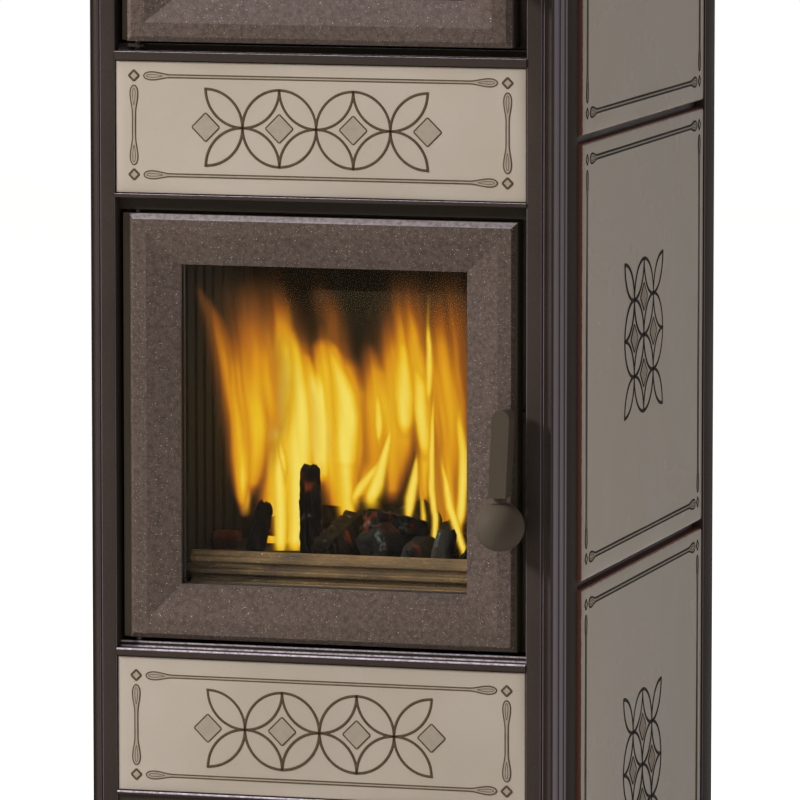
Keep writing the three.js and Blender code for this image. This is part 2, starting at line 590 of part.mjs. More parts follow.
function makeCasing() {
  const inner = CASING_HALF - CASING_WALL;
  const front = [CASING_FRONT - OVER, CASING_INNER_FRONT + OVER];
  const shell = cut(
    join(
      wideBox(CASING_HALF, CASING_FRONT, CASING_BACK, CASING_BOTTOM, CASING_TOP),
      wideBox(FRONT_FIT_HALF, CASING_FRONT, CASING_INNER_FRONT, CASING_FLANGE_BOTTOM, CASING_TOP),
    ),
    wideBox(inner, CASING_INNER_FRONT, CASING_BACK - CASING_WALL, CASING_FLOOR, CASING_TOP - CASING_WALL),
    wideBox(FIRE_MOUTH_HALF, ...front, CASING_FLOOR, FIRE_MOUTH_TOP),
    wideBox(OVEN_HALF + RUNNING, ...front, OVEN_Z[0] - RUNNING, OVEN_Z[1] + RUNNING),
    post(0, FLUE_Y, FLUE_RADIUS - FLUE_WALL, CASING_TOP - CASING_WALL - OVER, CASING_TOP + OVER, 40),
  );
  add('core_casing', shell, darkSteel());
}

function makeFirebox() {
  const brickInner = INNER_HALF - BRICK_THICKNESS;
  const front = CASING_INNER_FRONT + CLEARANCE;
  const base = HEARTH_TOP + CLEARANCE;
  add('firebrick_right', box(brickInner, INNER_HALF, front, FIREBOX_BACK, base, BRICK_TOP), brick());
  add('firebrick_left', box(-INNER_HALF, -brickInner, front, FIREBOX_BACK, base, BRICK_TOP), brick());
  const rear = FIREBOX_BACK + CLEARANCE;
  const rearBack = rear + BRICK_THICKNESS;
  add('firebrick_rear', wideBox(INNER_HALF, rear, rearBack, base, BRICK_TOP), brick());

  const hearthBack = rearBack + HEARTH_TAIL;
  const plateBottom = HEARTH_TOP - HEARTH_PLATE;
  const ledgeTop = plateBottom + GRATE_RECESS_FLOOR;
  const legZ = [CASING_FLOOR + CLEARANCE, plateBottom + OVER];
  const leg = (x) => box(x, x + RUNNER_WIDTH, HEARTH_FRONT, hearthBack, ...legZ);
  const openTop = HEARTH_TOP + OVER;
  const hearth = cut(
    join(
      wideBox(INNER_HALF, HEARTH_FRONT, hearthBack, plateBottom, HEARTH_TOP),
      leg(RUNNER_INNER),
      leg(-RUNNER_INNER - RUNNER_WIDTH),
    ),
    wideBox(GRATE_HALF + RUNNING, ...inset(GRATE_Y, -RUNNING), ledgeTop, openTop),
    wideBox(GRATE_HALF - GRATE_SHELF, ...inset(GRATE_Y, GRATE_SHELF), plateBottom - OVER, openTop),
  );
  add('hearth_plate', hearth, castIron());

  const grateZ = stack(ledgeTop + CLEARANCE, GRATE_PLATE);
  const slots = [];
  const pitch = (2 * GRATE_HALF - 2 * GRATE_SHELF) / GRATE_SLOTS;
  for (let slot = 0; slot < GRATE_SLOTS; slot += 1) {
    const middle = -GRATE_HALF + GRATE_SHELF + pitch * (slot + 0.5);
    const across = inset([middle, middle], -GRATE_SLOT_WIDTH / 2);
    slots.push(box(...across, ...inset(GRATE_Y, GRATE_SLOT_END), ...inset(grateZ, -OVER)));
  }
  add('grate', cut(wideBox(GRATE_HALF, ...GRATE_Y, ...grateZ), ...slots), castIron());

  const baffleZ = stack(BRICK_TOP + CLEARANCE, BAFFLE_PLATE);
  add('baffle_plate', wideBox(INNER_HALF, BAFFLE_FRONT, rearBack, ...baffleZ), castIron());
}

function makeLogGuard() {
  const [face, back] = GUARD_Y;
  const plate = face + RIB_DEPTH;
  const ribs = GUARD_RIBS.map(([low, high]) => wideBox(GUARD_HALF, face, plate + OVER, GUARD_BOTTOM + low,
    GUARD_BOTTOM + high));
  const leg = (x) => box(x, x + GUARD_LEG, plate, back, CASING_FLOOR + CLEARANCE, GUARD_BOTTOM + OVER);
  const guard = join(
    wideBox(GUARD_HALF, plate, back, GUARD_BOTTOM, GUARD_BOTTOM + GUARD_HEIGHT),
    ...ribs,
    leg(-GUARD_HALF),
    leg(GUARD_HALF - GUARD_LEG),
  );
  add('log_guard', guard, bronze());
}

function makeAshPan() {
  const bottom = CASING_FLOOR + CLEARANCE;
  const front = CASING_INNER_FRONT;
  const back = FIREBOX_BACK + PAN_TAIL;
  const pan = join(
    cut(
      wideBox(PAN_HALF, front, back, bottom, PAN_TOP),
      wideBox(PAN_HALF - PAN_SHEET, ...inset([front, back], PAN_SHEET), bottom + PAN_SHEET, PAN_TOP + OVER),
    ),
    wideBox(PAN_GRIP_HALF, front - PAN_GRIP_REACH, front + OVER, PAN_TOP - PAN_GRIP_DROP[0],
      PAN_TOP - PAN_GRIP_DROP[1]),
  );
  add('ash_pan', pan, darkSteel());
}

// ---- oven

function makeOven() {
  const flangeFront = FLANGE_BACK - OVEN_FLANGE_SHEET;
  const inner = OVEN_HALF - OVEN_SHEET;
  const railBack = OVEN_BACK - SHELF_RAIL_FROM_BACK;
  const railZ = stack(SHELF_RAIL_Z, FLANGE_SHEET);
  const shelfRail = (x0, x1) => box(x0, x1, SHELF_RAIL_FRONT, railBack, ...railZ);
  const liner = join(
    cut(
      join(
        wideBox(OVEN_HALF, flangeFront, OVEN_BACK, ...OVEN_Z),
        wideBox(OVEN_HALF + OVEN_FLANGE, flangeFront, FLANGE_BACK, ...inset(OVEN_Z, -OVEN_FLANGE)),
      ),
      wideBox(inner, flangeFront - OVER, OVEN_BACK - OVEN_SHEET, ...inset(OVEN_Z, OVEN_SHEET)),
    ),
    shelfRail(inner - SHELF_RAIL, inner + OVER),
    shelfRail(-inner - OVER, SHELF_RAIL - inner),
  );
  add('oven_liner', liner, steel());

  const half = inner - 1;
  const front = SHELF_RAIL_FRONT + RACK_INSET[0];
  const back = railBack - RACK_INSET[1];
  const rackZ = stack(railZ[1] + CLEARANCE, RACK_BAR);
  const pitch = (2 * half - RACK_BAR) / RACK_GAPS;
  const gaps = [];
  for (let gap = 0; gap < RACK_GAPS; gap += 1) {
    const x = -half + RACK_BAR + gap * pitch;
    gaps.push(box(x, x + pitch - RACK_BAR, ...inset([front, back], RACK_BAR), ...inset(rackZ, -OVER)));
  }
  add('oven_rack', cut(wideBox(half, front, back, ...rackZ), ...gaps), steel());
}

// ---- top

function makeTop() {
  const z = POST_TOP + CLEARANCE;
  const edge = BODY_HALF_WIDTH + TOP_OVERHANG;
  const steps = [[0, 12], [4, 9], [9, 9], [16, 7], [24, 3.5], [30, 1], [CORNICE_HEIGHT - CLEARANCE, 1]];
  const sections = steps.map(([up, by]) => ({
    a: [-edge + by, edge - by], b: [-TOP_OVERHANG + by, BODY_DEPTH - by * 0.2], c: z + up,
  }));
  const hollow = wideBox(FRONT_OPENING_HALF + CORNICE_SIDE, CORNICE_END, BODY_DEPTH - CORNICE_END, z - OVER,
    z + CORNICE_HEIGHT + OVER);
  add('cornice', cut(loft(sections, facingUp), hollow), brownPaint());

  const plateSteps = [[0, 1.5], [1.5, 0], [TOP_PLATE - 4, 0], [TOP_PLATE - 1, 1.2], [TOP_PLATE, 4]];
  const plate = plateSteps.map(([up, by]) => ({
    a: [-edge + by, edge - by], b: [-TOP_OVERHANG + by, BODY_DEPTH - by], c: TOP_PLATE_Z + up,
  }));
  const plateZ = stack(TOP_PLATE_Z, TOP_PLATE);
  const flueHole = post(0, FLUE_Y, FLUE_RADIUS + RUNNING, ...inset(plateZ, -OVER), 40);
  add('top_plate', cut(loft(plate, facingUp), flueHole), castIron());

  const base = CASING_TOP + CLEARANCE;
  const top = TOP_PLATE_Z + TOP_PLATE + FLUE_STANDS;
  const bore = FLUE_RADIUS - FLUE_WALL;
  const profile = [[bore, base], [FLUE_FLANGE_RADIUS, base], [FLUE_FLANGE_RADIUS, base + FLUE_WALL],
    [FLUE_RADIUS, base + FLUE_WALL], [FLUE_RADIUS, top], [bore, top], [bore, base]];
  add('flue_collar', turned(profile, 40).rotateX(Math.PI / 2).translate(0, FLUE_Y, 0), castIron());
}

// ---- doors

/** The parts of one hinged door, all of them named after it. */
function makeDoor(name, door) {
  const { half, bottom, top, face, openHalf, openBottom, openTop } = door;
  const x = [-half, half];
  const z = [bottom, top];
  const open = { a: [-openHalf, openHalf], b: [openBottom, openTop] };
  const slopeEnd = face + DOOR_SLOPE_DEPTH;
  const glassFront = slopeEnd + DOOR_RETURN + CLEARANCE;
  const glassBack = glassFront + GLASS_THICKNESS;
  const band = DOOR_BEVEL + DOOR_BAND;

  const block = loft([
    { a: x, b: z, c: DOOR_BACK },
    { a: x, b: z, c: face + DOOR_BEVEL },
    { a: inset(x, DOOR_BEVEL), b: inset(z, DOOR_BEVEL), c: face },
  ], facingFront);
  const slope = loft([
    { a: inset(x, band - 0.001), b: inset(z, band - 0.001), c: face - 0.0001 },
    { a: inset(x, band), b: inset(z, band), c: face },
    { ...open, c: slopeEnd },
    { ...open, c: DOOR_BACK + OVER },
  ], facingFront);
  const openZ = [openBottom, openTop];
  const rebateY = [slopeEnd + DOOR_RETURN, DOOR_BACK + OVER];
  const rebate = wideBox(openHalf + GLASS_LAP, ...rebateY, ...inset(openZ, -GLASS_LAP));
  const spindleX = half - SPINDLE_FROM_EDGE;
  const ledgeEdge = DOOR_LEDGE_GAP - FRONT_OPENING_HALF;
  const frame = cut(
    join(block, box(ledgeEdge, PIN_FROM_EDGE - half, DOOR_LEDGE_FRONT, DOOR_BACK, ...z)),
    slope,
    rebate,
    hingeHole(door, bottom - OVER, bottom + PIN_DEPTH),
    hingeHole(door, top - PIN_DEPTH, top + OVER),
    rod(spindleX, door.hubZ, SPINDLE_RADIUS + CLEARANCE, face - OVER, DOOR_BACK + OVER),
  );
  add(`${name}_frame`, frame, doorPaint());

  const paneHalf = openHalf + GLASS_LAP - GLASS_PLAY;
  const paneZ = inset(openZ, GLASS_PLAY - GLASS_LAP);
  add(`${name}_glass`, wideBox(paneHalf, glassFront, glassBack, ...paneZ), fireGlass());
  const clampY = stack(glassBack + CLEARANCE, CLAMP_THICKNESS);
  const clamp = cut(
    wideBox(paneHalf, ...clampY, ...paneZ),
    wideBox(paneHalf - CLAMP_WIDTH, ...inset(clampY, -OVER), ...inset(paneZ, CLAMP_WIDTH)),
  );
  add(`${name}_glass_clamp`, clamp, darkSteel());

  const ring = spindleX - GASKET_TO_SPINDLE;
  const gasket = cut(
    wideBox(ring, DOOR_BACK + CLEARANCE, FLANGE_BACK, ...door.sealZ),
    wideBox(ring - GASKET_WIDTH, DOOR_BACK, FLANGE_BACK + OVER, ...inset(door.sealZ, GASKET_WIDTH)),
  );
  add(`${name}_gasket`, gasket, rope());

  makeHandle(name, door, spindleX);
}

/** Hinge pins stay with the body: they stand in the flanges above and below the door. */
function makeHingePins(name, door) {
  const reach = PIN_DEPTH - CLEARANCE;
  const pin = (z0, z1) => post(pinX(door), door.pinY, PIN_RADIUS, z0, z1);
  add(`${name}_pin_lower`, pin(door.bottom - PIN_STANDS, door.bottom + reach), steel());
  add(`${name}_pin_upper`, pin(door.top - reach, door.top + PIN_STANDS), steel());
}

/** Arm with a rounded top and a slight lean, its neck, the ball, and the latch behind the door. */
function makeHandle(name, door, spindleX) {
  const back = door.face - ARM_STANDOFF;
  const front = back - ARM_DEPTH;
  const middle = (front + back) / 2;
  const armTop = door.hubZ + ARM_TOP_ABOVE_HUB;
  const armBottom = armTop - ARM_LENGTH;
  const topX = spindleX + ARM_HUB_SHIFT;
  const radius = ARM_WIDTH / 2;
  const shoulder = armTop - radius;
  const lean = (z) => topX - (armTop - z) * ARM_LEAN;
  const outline = new THREE.Shape();
  outline.moveTo(lean(armBottom) - radius, armBottom);
  outline.lineTo(lean(armBottom) + radius, armBottom);
  outline.lineTo(lean(shoulder) + radius, shoulder);
  outline.absarc(lean(shoulder), shoulder, radius, 0, Math.PI, false);
  const solidBar = { depth: ARM_DEPTH, bevelEnabled: false, curveSegments: 14 };
  const bar = new THREE.ExtrudeGeometry(outline, solidBar);
  bar.rotateX(Math.PI / 2).translate(0, back, 0);
  const neckX = lean(armBottom);
  const neckBottom = armBottom - NECK_LENGTH;
  const neck = post(neckX, middle, NECK_RADIUS, neckBottom, armBottom + OVER);
  add(`${name}_handle_arm`, join(bar, neck), handlePaint());

  const ballCentre = neckBottom - CLEARANCE - BALL_RADIUS + BALL_FLAT;
  const flatRadius = Math.sqrt(BALL_RADIUS ** 2 - (BALL_RADIUS - BALL_FLAT) ** 2);
  const profile = [];
  const steps = 14;
  const last = Math.PI - Math.asin(flatRadius / BALL_RADIUS);
  for (let step = 0; step <= steps; step += 1) {
    const angle = (last * step) / steps;
    profile.push([step === 0 ? 0 : BALL_RADIUS * Math.sin(angle), -BALL_RADIUS * Math.cos(angle)]);
  }
  profile.push([0, BALL_RADIUS - BALL_FLAT]);
  const ball = turned(profile, 28).rotateX(Math.PI / 2);
  add(`${name}_handle_ball`, ball.translate(neckX, middle, ballCentre), handlePaint());

  const plateFront = DOOR_BACK + LATCH_GAP;
  const plateBack = plateFront + LATCH_THICKNESS;
  const plateZ = inset([door.hubZ, door.hubZ], -LATCH_WIDTH / 2);
  const latch = join(
    rod(spindleX, door.hubZ, SPINDLE_RADIUS, back + CLEARANCE, plateFront + OVER),
    rod(spindleX, door.hubZ, LATCH_HUB_RADIUS, plateFront, plateBack),
    box(spindleX, spindleX + LATCH_REACH, plateFront, plateBack, ...plateZ),
  );
  add(`${name}_latch`, latch, steel());
}

// ---- wood drawer and controls

function makeDrawer() {
  const face = FRONT_TILE_FACE;
  const back = face + DRAWER_FRONT_THICKNESS;
  const x = [-DRAWER_HALF, DRAWER_HALF];
  const panel = loft([
    { a: x, b: DRAWER_FRONT_Z, c: back },
    { a: x, b: DRAWER_FRONT_Z, c: face + DRAWER_EDGE },
    { a: inset(x, DRAWER_EDGE), b: inset(DRAWER_FRONT_Z, DRAWER_EDGE), c: face },
  ], facingFront);
  const stem = DRAWER_KNOB_STEM;
  const reach = DRAWER_KNOB_REACH;
  const tip = reach + DRAWER_KNOB_RADIUS * 1.2;
  const profile = [[0, 0], [stem + 4, 0], [stem + 3, 2], [stem, 4], [stem, reach - 4],
    [DRAWER_KNOB_RADIUS - 1, reach], [DRAWER_KNOB_RADIUS, reach + 5], [DRAWER_KNOB_RADIUS - 2, reach + 11],
    [stem, tip - 1], [0, tip]];
  const knob = turned(profile).rotateX(Math.PI);
  knob.translate(0, face + OVER, DRAWER_FRONT_Z[1] - DRAWER_KNOB_DROP);
  add('wood_drawer_front', join(panel, knob), brownPaint());

  const wall = DRAWER_SHEET;
  const boxY = [back + CLEARANCE, DRAWER_BACK];
  const bottom = POST_BOTTOM + CLEARANCE;
  const rim = DRAWER_FRONT_Z[1] - DRAWER_BOX_DROP;
  const tray = cut(
    wideBox(DRAWER_BOX_HALF, ...boxY, bottom, rim),
    wideBox(DRAWER_BOX_HALF - wall, ...inset(boxY, wall), bottom + wall, rim + OVER),
  );
  add('wood_drawer_box', tray, darkSteel());
}

/** A rod with a turned knob on its front end. */
function controlRod(x, z, face, end) {
  const radius = CONTROL_KNOB_RADIUS;
  const length = CONTROL_KNOB_LENGTH;
  const profile = [
    [0, 0], [radius - 2, 0], [radius, 2], [radius, length - 3], [radius - 2.5, length], [0, length],
  ];
  const knob = turned(profile).rotateX(Math.PI).translate(x, face, z);
  return join(knob, rod(x, z, CONTROL_ROD_RADIUS, face - OVER, end));
}

function makeControls() {
  const face = CONTROL_STRIP_FACE - OVER;
  add('primary_air_rod', controlRod(-CONTROL_X, CONTROL_Z, face, CONTROL_ROD_END), steel());
  add('secondary_air_rod', controlRod(CONTROL_X, CONTROL_Z, face, CONTROL_ROD_END), steel());
  add('smoke_bypass_rod', controlRod(BYPASS_X, BYPASS_Z, TOP_RAIL_FACE - OVER, BYPASS_ROD_END), steel());
}

makeBase();
makePosts();
makePanels();
makeTiles();
makeCasing();
makeFirebox();
makeLogGuard();
makeAshPan();
makeOven();
makeTop();
for (const [name, door] of [['fire_door', FIRE_DOOR], ['oven_door', OVEN_DOOR]]) {
  makeDoor(name, door);
  makeHingePins(name, door);
}
makeDrawer();
makeControls();

export default stove;
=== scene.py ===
"""Looks of the tiled wood stove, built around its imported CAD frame.

Lengths are millimetres with y = 0 at the front face of the corner posts, turned into the frame's metres by `place`.
"""

import math

import bmesh
import bpy
import numpy as np
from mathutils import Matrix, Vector


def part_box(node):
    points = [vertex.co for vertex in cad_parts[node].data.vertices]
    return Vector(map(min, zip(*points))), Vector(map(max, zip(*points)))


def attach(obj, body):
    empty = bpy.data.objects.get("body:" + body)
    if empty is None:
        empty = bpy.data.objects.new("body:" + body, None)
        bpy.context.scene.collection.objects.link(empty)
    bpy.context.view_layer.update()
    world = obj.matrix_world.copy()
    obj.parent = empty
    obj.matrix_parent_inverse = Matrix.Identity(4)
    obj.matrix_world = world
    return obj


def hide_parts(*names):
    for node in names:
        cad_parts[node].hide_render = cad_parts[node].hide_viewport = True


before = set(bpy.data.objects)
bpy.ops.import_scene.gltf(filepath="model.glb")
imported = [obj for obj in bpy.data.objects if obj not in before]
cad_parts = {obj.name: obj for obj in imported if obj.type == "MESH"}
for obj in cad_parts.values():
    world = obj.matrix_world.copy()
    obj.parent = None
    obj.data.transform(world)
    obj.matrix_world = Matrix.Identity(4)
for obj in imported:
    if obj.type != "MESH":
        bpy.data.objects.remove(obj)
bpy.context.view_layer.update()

MM = 0.001
CENTRE_Y = 266.55

# The stove, in millimetres
POST_BOTTOM, POST_TOP = 55.3, 1309.0
POST_INNER, POST_STRIP_EDGE, POST_SIDE = 200.6, 224.5, 232.0
POST_SIDE_START, POST_DEPTH = 29.5, 69.4
# Two beads that step back from the strip to the side, as (outward, backward)
POST_MOULDING = [
    (0.2, 1.6), (0.3, 3), (0.5, 5), (0.8, 6.5), (1.3, 7.6), (2.1, 9), (2.7, 10.2), (3.1, 11.5), (3.6, 12.7),
    (3.9, 14), (4, 15), (4, 16), (3.9, 17.4), (4.1, 17.9), (4.4, 18.2), (5.3, 19.4), (5.8, 20.4), (6.2, 21.6),
    (6.5, 22.8), (6.7, 24), (6.7, 25), (6.6, 25.8), (6.3, 26.8), (6.6, 27.5), (7, 28),
]
REAR_POST_FRONT, BODY_BACK = 546.6, 588.0
PANEL_EDGE_LENGTH = 300.0  # shorter edges of the front panels stay sharp
# The casing's faces nearer than this take a pale sheet colour: painted fill light that lifts the gap round the doors,
# where the real paint is dark
CASING_FRONT = 44.0  # what lies nearer on the casing is seen round the doors
# The front parts between the posts turn to a painted tone over the first span and back over the second, light and
# shade painted into the colour of what lies back there
RECESS_START, RECESS_END = (5.0, 9.5), (52.0, 60.0)
FRONT_ROUND, SIDE_ROUND = 1.5, 3.5
TILE_PITCH = 9.0
TILE_THICKNESS = 10.0
SIDE_FACE, FRONT_FACE = 236.0, 1.5
SIDE_TILE_Y = (70.0, 546.0)
SIDE_TILE_Z = {"lower": (55.3, 468.6), "middle": (475.2, 888.8), "upper": (895.4, 1309.0)}
FRONT_TILE_HALF = 200.2
FRONT_TILES = {
    "upper": dict(z=(838.5, 963.7), diamonds=(856.3, 949.4), centre=902.2, first=-75.3, step=72.0),
    "lower": dict(z=(270.0, 398.7), diamonds=(285.6, 380.6), centre=332.8, first=-74.2, step=73.2),
}
ORNAMENT_BASE = 0.05  # how far the ornament's ground lies under the nominal tile face
CORNER_DIAMOND, CORNER_LINE = 4.9, 2.3
LARGE_DIAMOND, BULB, DROP_LINE = 13.6, 3.75, 0.7
FIREBOX_Y, FIREBOX_Z = (40.3, 330.0), (474.3, 790.0)
BRICK_BACK, BRICK_FACE = 191.7, 164.0
RIB_MIDDLES = (62, 85, 115, 145, 172, 200, 232, 268, 300)
FLAME_HALF, FLAME_Z, FLAME_CELL = 161.0, (476.5, 786.0), 1.6


def place(points):
    """Millimetre points in the frame's metres."""
    out = np.asarray(points, float).reshape(-1, 3).copy()
    out[:, 1] -= CENTRE_Y
    return out * MM


# ------------------------------------------------------------------ materials


def node(tree, kind, inputs=None, **settings):
    """A new node, its sockets linked or set by name or number."""
    made = tree.nodes.new(kind)
    for key, value in settings.items():
        setattr(made, key, value)
    for key, value in (inputs or {}).items():
        if isinstance(value, bpy.types.NodeSocket):
            tree.links.new(value, made.inputs[key])
        else:
            made.inputs[key].default_value = value
    return made


def linear(rgb):
    """An sRGB colour of 0 to 255 as linear RGBA."""
    out = []
    for level in rgb:
        c = level / 255
        out.append(c / 12.92 if c <= 0.04045 else ((c + 0.055) / 1.055) ** 2.4)
    return (*out, 1.0)


def scaled(colour, factor):
    return (*(c * factor for c in colour[:3]), 1.0)


def new_material(name):
    made = bpy.data.materials.new(name)
    made.use_nodes = True
    made.node_tree.nodes.clear()
    return made, made.node_tree


def place_of(tree, stretch=(1, 1, 1)):
    where = node(tree, "ShaderNodeTexCoord").outputs["Object"]
    return node(tree, "ShaderNodeMapping", {"Vector": where, "Scale": stretch}).outputs["Vector"]


def noise(tree, where, scale, detail=3.0, rough=0.5, twist=0.0):
    made = node(tree, "ShaderNodeTexNoise", {
        "Vector": where, "Scale": scale, "Detail": detail, "Roughness": rough, "Distortion": twist})
    return made.outputs["Fac"]


def cells(tree, where, scale):
    """The distance from each cell's middle, and random values that are even within a cell."""
    made = node(tree, "ShaderNodeTexVoronoi", {"Vector": where, "Scale": scale})
    return made.outputs["Distance"], node(tree, "ShaderNodeSeparateColor", {"Color": made.outputs["Color"]}).outputs


def levels(tree, value, low, high, to_low=0.0, to_high=1.0):
    made = node(tree, "ShaderNodeMapRange", {
        "Value": value, "From Min": low, "From Max": high, "To Min": to_low, "To Max": to_high})
    return made.outputs["Result"]


def maths(tree, operation, first, second=0.0, clamp=False):
    return node(tree, "ShaderNodeMath", {0: first, 1: second}, operation=operation, use_clamp=clamp).outputs[0]


def times(tree, first, second, clamp=False):
    return maths(tree, "MULTIPLY", first, second, clamp)


def mixed(tree, share, first, second):
    """The first colour where the share is 0, the second where it is 1."""
    return node(tree, "ShaderNodeMix", {0: share, 6: first, 7: second}, data_type="RGBA").outputs[2]


def toned(tree, value, colour, dark, pale):
    """A colour between a darker and a paler form of itself, by a noise value."""
    return mixed(tree, levels(tree, value, 0.3, 0.7), scaled(colour, dark), scaled(colour, pale))


def ramp(tree, value, stops):
    made = node(tree, "ShaderNodeValToRGB", {"Fac": value})
    band = made.color_ramp
    for element, (at, colour) in zip(band.elements, (stops[0], stops[-1])):
        element.position = at
        element.color = colour
    for at, colour in stops[1:-1]:
        band.elements.new(at).color = colour
    return made.outputs["Color"]


def bumped(tree, height, strength, distance_mm):
    made = node(tree, "ShaderNodeBump", {"Height": height, "Strength": strength, "Distance": distance_mm * MM})
    return made.outputs["Normal"]


def finish_with(tree, shader):
    out = node(tree, "ShaderNodeOutputMaterial")
    tree.links.new(shader, out.inputs["Surface"])


def coated(made, tree, sockets):
    """The material, finished with a Principled shader."""
    finish_with(tree, node(tree, "ShaderNodeBsdfPrincipled", sockets).outputs[0])
    return made


def attribute(tree, name):
    return node(tree, "ShaderNodeAttribute", attribute_name=name).outputs["Fac"]


def painted_recess_mask(tree, beyond):
    """Mask of the painted light and shade: 1 on what lies back between the front posts, farther out than `beyond`, and
    0 elsewhere.
    """
    where = node(tree, "ShaderNodeTexCoord").outputs["Object"]
    parts = node(tree, "ShaderNodeSeparateXYZ", {"Vector": where})
    aside = maths(tree, "ABSOLUTE", parts.outputs[0])
    across = levels(tree, aside, (POST_INNER + 0.8) * MM, (POST_INNER + 0.3) * MM)
    back = levels(tree, parts.outputs[1], *((y - CENTRE_Y) * MM for y in RECESS_START))
    near = levels(tree, parts.outputs[1], *((y - CENTRE_Y) * MM for y in reversed(RECESS_END)))
    inside = times(tree, across, back, clamp=True)
    if beyond:
        outer = levels(tree, aside, (beyond - 0.5) * MM, (beyond + 0.5) * MM)
        inside = times(tree, inside, outer, clamp=True)
    return times(tree, inside, near, clamp=True)


def painted_arris_highlight(tree, upper, side):
    """Shares of a painted highlight on arrises that face forward and up, and on those that face forward and outward.

    `upper` is the span over which the first grows with the normal's turn towards 45 degrees. `side` holds the
    direction of the second as outward and backward, its span, and its strength.
    """
    turned = node(tree, "ShaderNodeTexCoord").outputs["Normal"]
    parts = node(tree, "ShaderNodeSeparateXYZ", {"Vector": turned}).outputs
    front = times(tree, parts[1], -0.707)
    rise = maths(tree, "ADD", front, times(tree, parts[2], 0.707))
    outward = times(tree, maths(tree, "ABSOLUTE", parts[0]), side[0])
    swing = maths(tree, "ADD", outward, times(tree, parts[1], side[1]))
    above = levels(tree, rise, *upper)
    beside = times(tree, levels(tree, swing, *side[2:4]), side[4])
    return above, beside


def paint(name, rgb, rough=0.45, metallic=0.0, mottle=0.1, grain=0.25, sparkle=0.0, specular=0.35, recess_painted_tone=None,
          arris_highlight=None):
    """Stove paint: a slow drift of tone, a fine grain in relief, and metal flakes where sparkle says.

    The setting for what lies back between the posts is a colour painted there as light and shade, and how far out it
    starts. The arris setting is a pale colour painted on arrises as highlight, with the two settings of the highlight
    mask.
    """
    made, tree = new_material(name)
    where = place_of(tree)
    colour = linear(rgb)
    drift = noise(tree, where, 9.0, 3.0)
    fine = noise(tree, where, 620.0, 2.0, 0.6)
    tone = toned(tree, drift, colour, 1 - mottle, 1 + mottle)
    tone = mixed(tree, levels(tree, fine, 0.3, 0.7, 0.0, 0.5 * grain), tone, scaled(colour, 0.45))
    if sparkle:
        blotch = noise(tree, where, 210.0, 3.0, 0.65)
        tone = mixed(tree, levels(tree, blotch, 0.42, 0.7, 0.0, 0.5 * sparkle), tone, scaled(colour, 1.75))
        tone = mixed(tree, levels(tree, blotch, 0.52, 0.3, 0.0, 0.5 * sparkle), tone, scaled(colour, 0.5))
        distance, pick = cells(tree, where, 820.0)
        small = levels(tree, distance, 0.4, 0.16)
        flake = times(tree, levels(tree, pick[0], 0.78, 1.0), small, clamp=True)
        grit = times(tree, levels(tree, pick[0], 0.25, 0.1), small, clamp=True)
        rare = times(tree, levels(tree, pick[1], 0.965, 0.99), small, clamp=True)
        tone = mixed(tree, times(tree, flake, sparkle), tone, linear((178, 164, 152)))
        tone = mixed(tree, times(tree, grit, 0.6 * sparkle), tone, linear((38, 32, 28)))
        tone = mixed(tree, times(tree, rare, sparkle), tone, linear((232, 222, 210)))
    # Light and shade painted into the colour of what lies back between the posts
    if recess_painted_tone:
        painted_tone, beyond = recess_painted_tone
        tone = mixed(tree, painted_recess_mask(tree, beyond), tone, linear(painted_tone))
    # Painted highlight: a pale colour on arrises turned towards the lamps, in patches on those that face up
    if arris_highlight:
        pale, upper, side = arris_highlight
        patchy = levels(tree, noise(tree, where, 240.0, 3.0, 0.7), 0.35, 0.62, 0.4, 1.0)
        above, beside = painted_arris_highlight(tree, upper, side)
        share = maths(tree, "MAXIMUM", times(tree, above, patchy), beside, clamp=True)
        tone = mixed(tree, share, tone, linear(pale))
    roughness = levels(tree, drift, 0.3, 0.7, rough - 0.05, rough + 0.07)
    normal = bumped(tree, fine, 0.35 + 0.5 * grain, 0.05 + 0.25 * grain)
    return coated(made, tree, {
        "Base Color": tone, "Metallic": metallic, "Roughness": roughness, "Specular IOR Level": specular,
        "Normal": normal})


def glaze():
    """Warm grey glaze: soft clouds, a few iron specks, thin over the edges where the red clay shows."""
    made, tree = new_material("tile_glaze")
    where = place_of(tree)
    cloud = noise(tree, where, 7.0, 3.0, 0.5, 0.3)
    body = mixed(tree, levels(tree, cloud, 0.32, 0.68), linear((175, 164, 151)), linear((183, 172, 160)))
    warm = noise(tree, place_of(tree, (1, 1, 0.35)), 16.0, 2.0)
    body = mixed(tree, levels(tree, warm, 0.45, 0.75, 0.0, 0.25), body, linear((178, 162, 142)))
    distance, pick = cells(tree, where, 260.0)
    speck = times(tree, levels(tree, pick[1], 0.975, 0.995), levels(tree, distance, 0.22, 0.08), clamp=True)
    body = mixed(tree, times(tree, speck, 0.45), body, linear((96, 80, 66)))
    edge = attribute(tree, "edge")
    ragged = noise(tree, where, 160.0, 3.0, 0.6)
    bare = levels(tree, maths(tree, "ADD", edge, times(tree, ragged, 0.5)), 0.58, 0.78)
    body = mixed(tree, bare, body, linear((112, 72, 62)))
    height = maths(tree, "ADD", noise(tree, where, 22.0, 2.0), times(tree, cloud, 0.6))
    return coated(made, tree, {
        "Base Color": body, "Roughness": levels(tree, cloud, 0.3, 0.7, 0.22, 0.32),
        "Specular IOR Level": 0.012, "Normal": bumped(tree, height, 0.01, 0.2)})


def enamel(name, rgb, spread=0.16):
    """Fired colour of the tile ornament, a little uneven in strength."""
    made, tree = new_material(name)
    where = place_of(tree)
    uneven = noise(tree, where, 140.0, 3.0, 0.6)
    tone = toned(tree, uneven, linear(rgb), 1 - spread, 1 + spread)
    return coated(made, tree, {
        "Base Color": tone, "Roughness": 0.35, "Specular IOR Level": 0.003,
        "Normal": bumped(tree, uneven, 0.15, 0.1)})


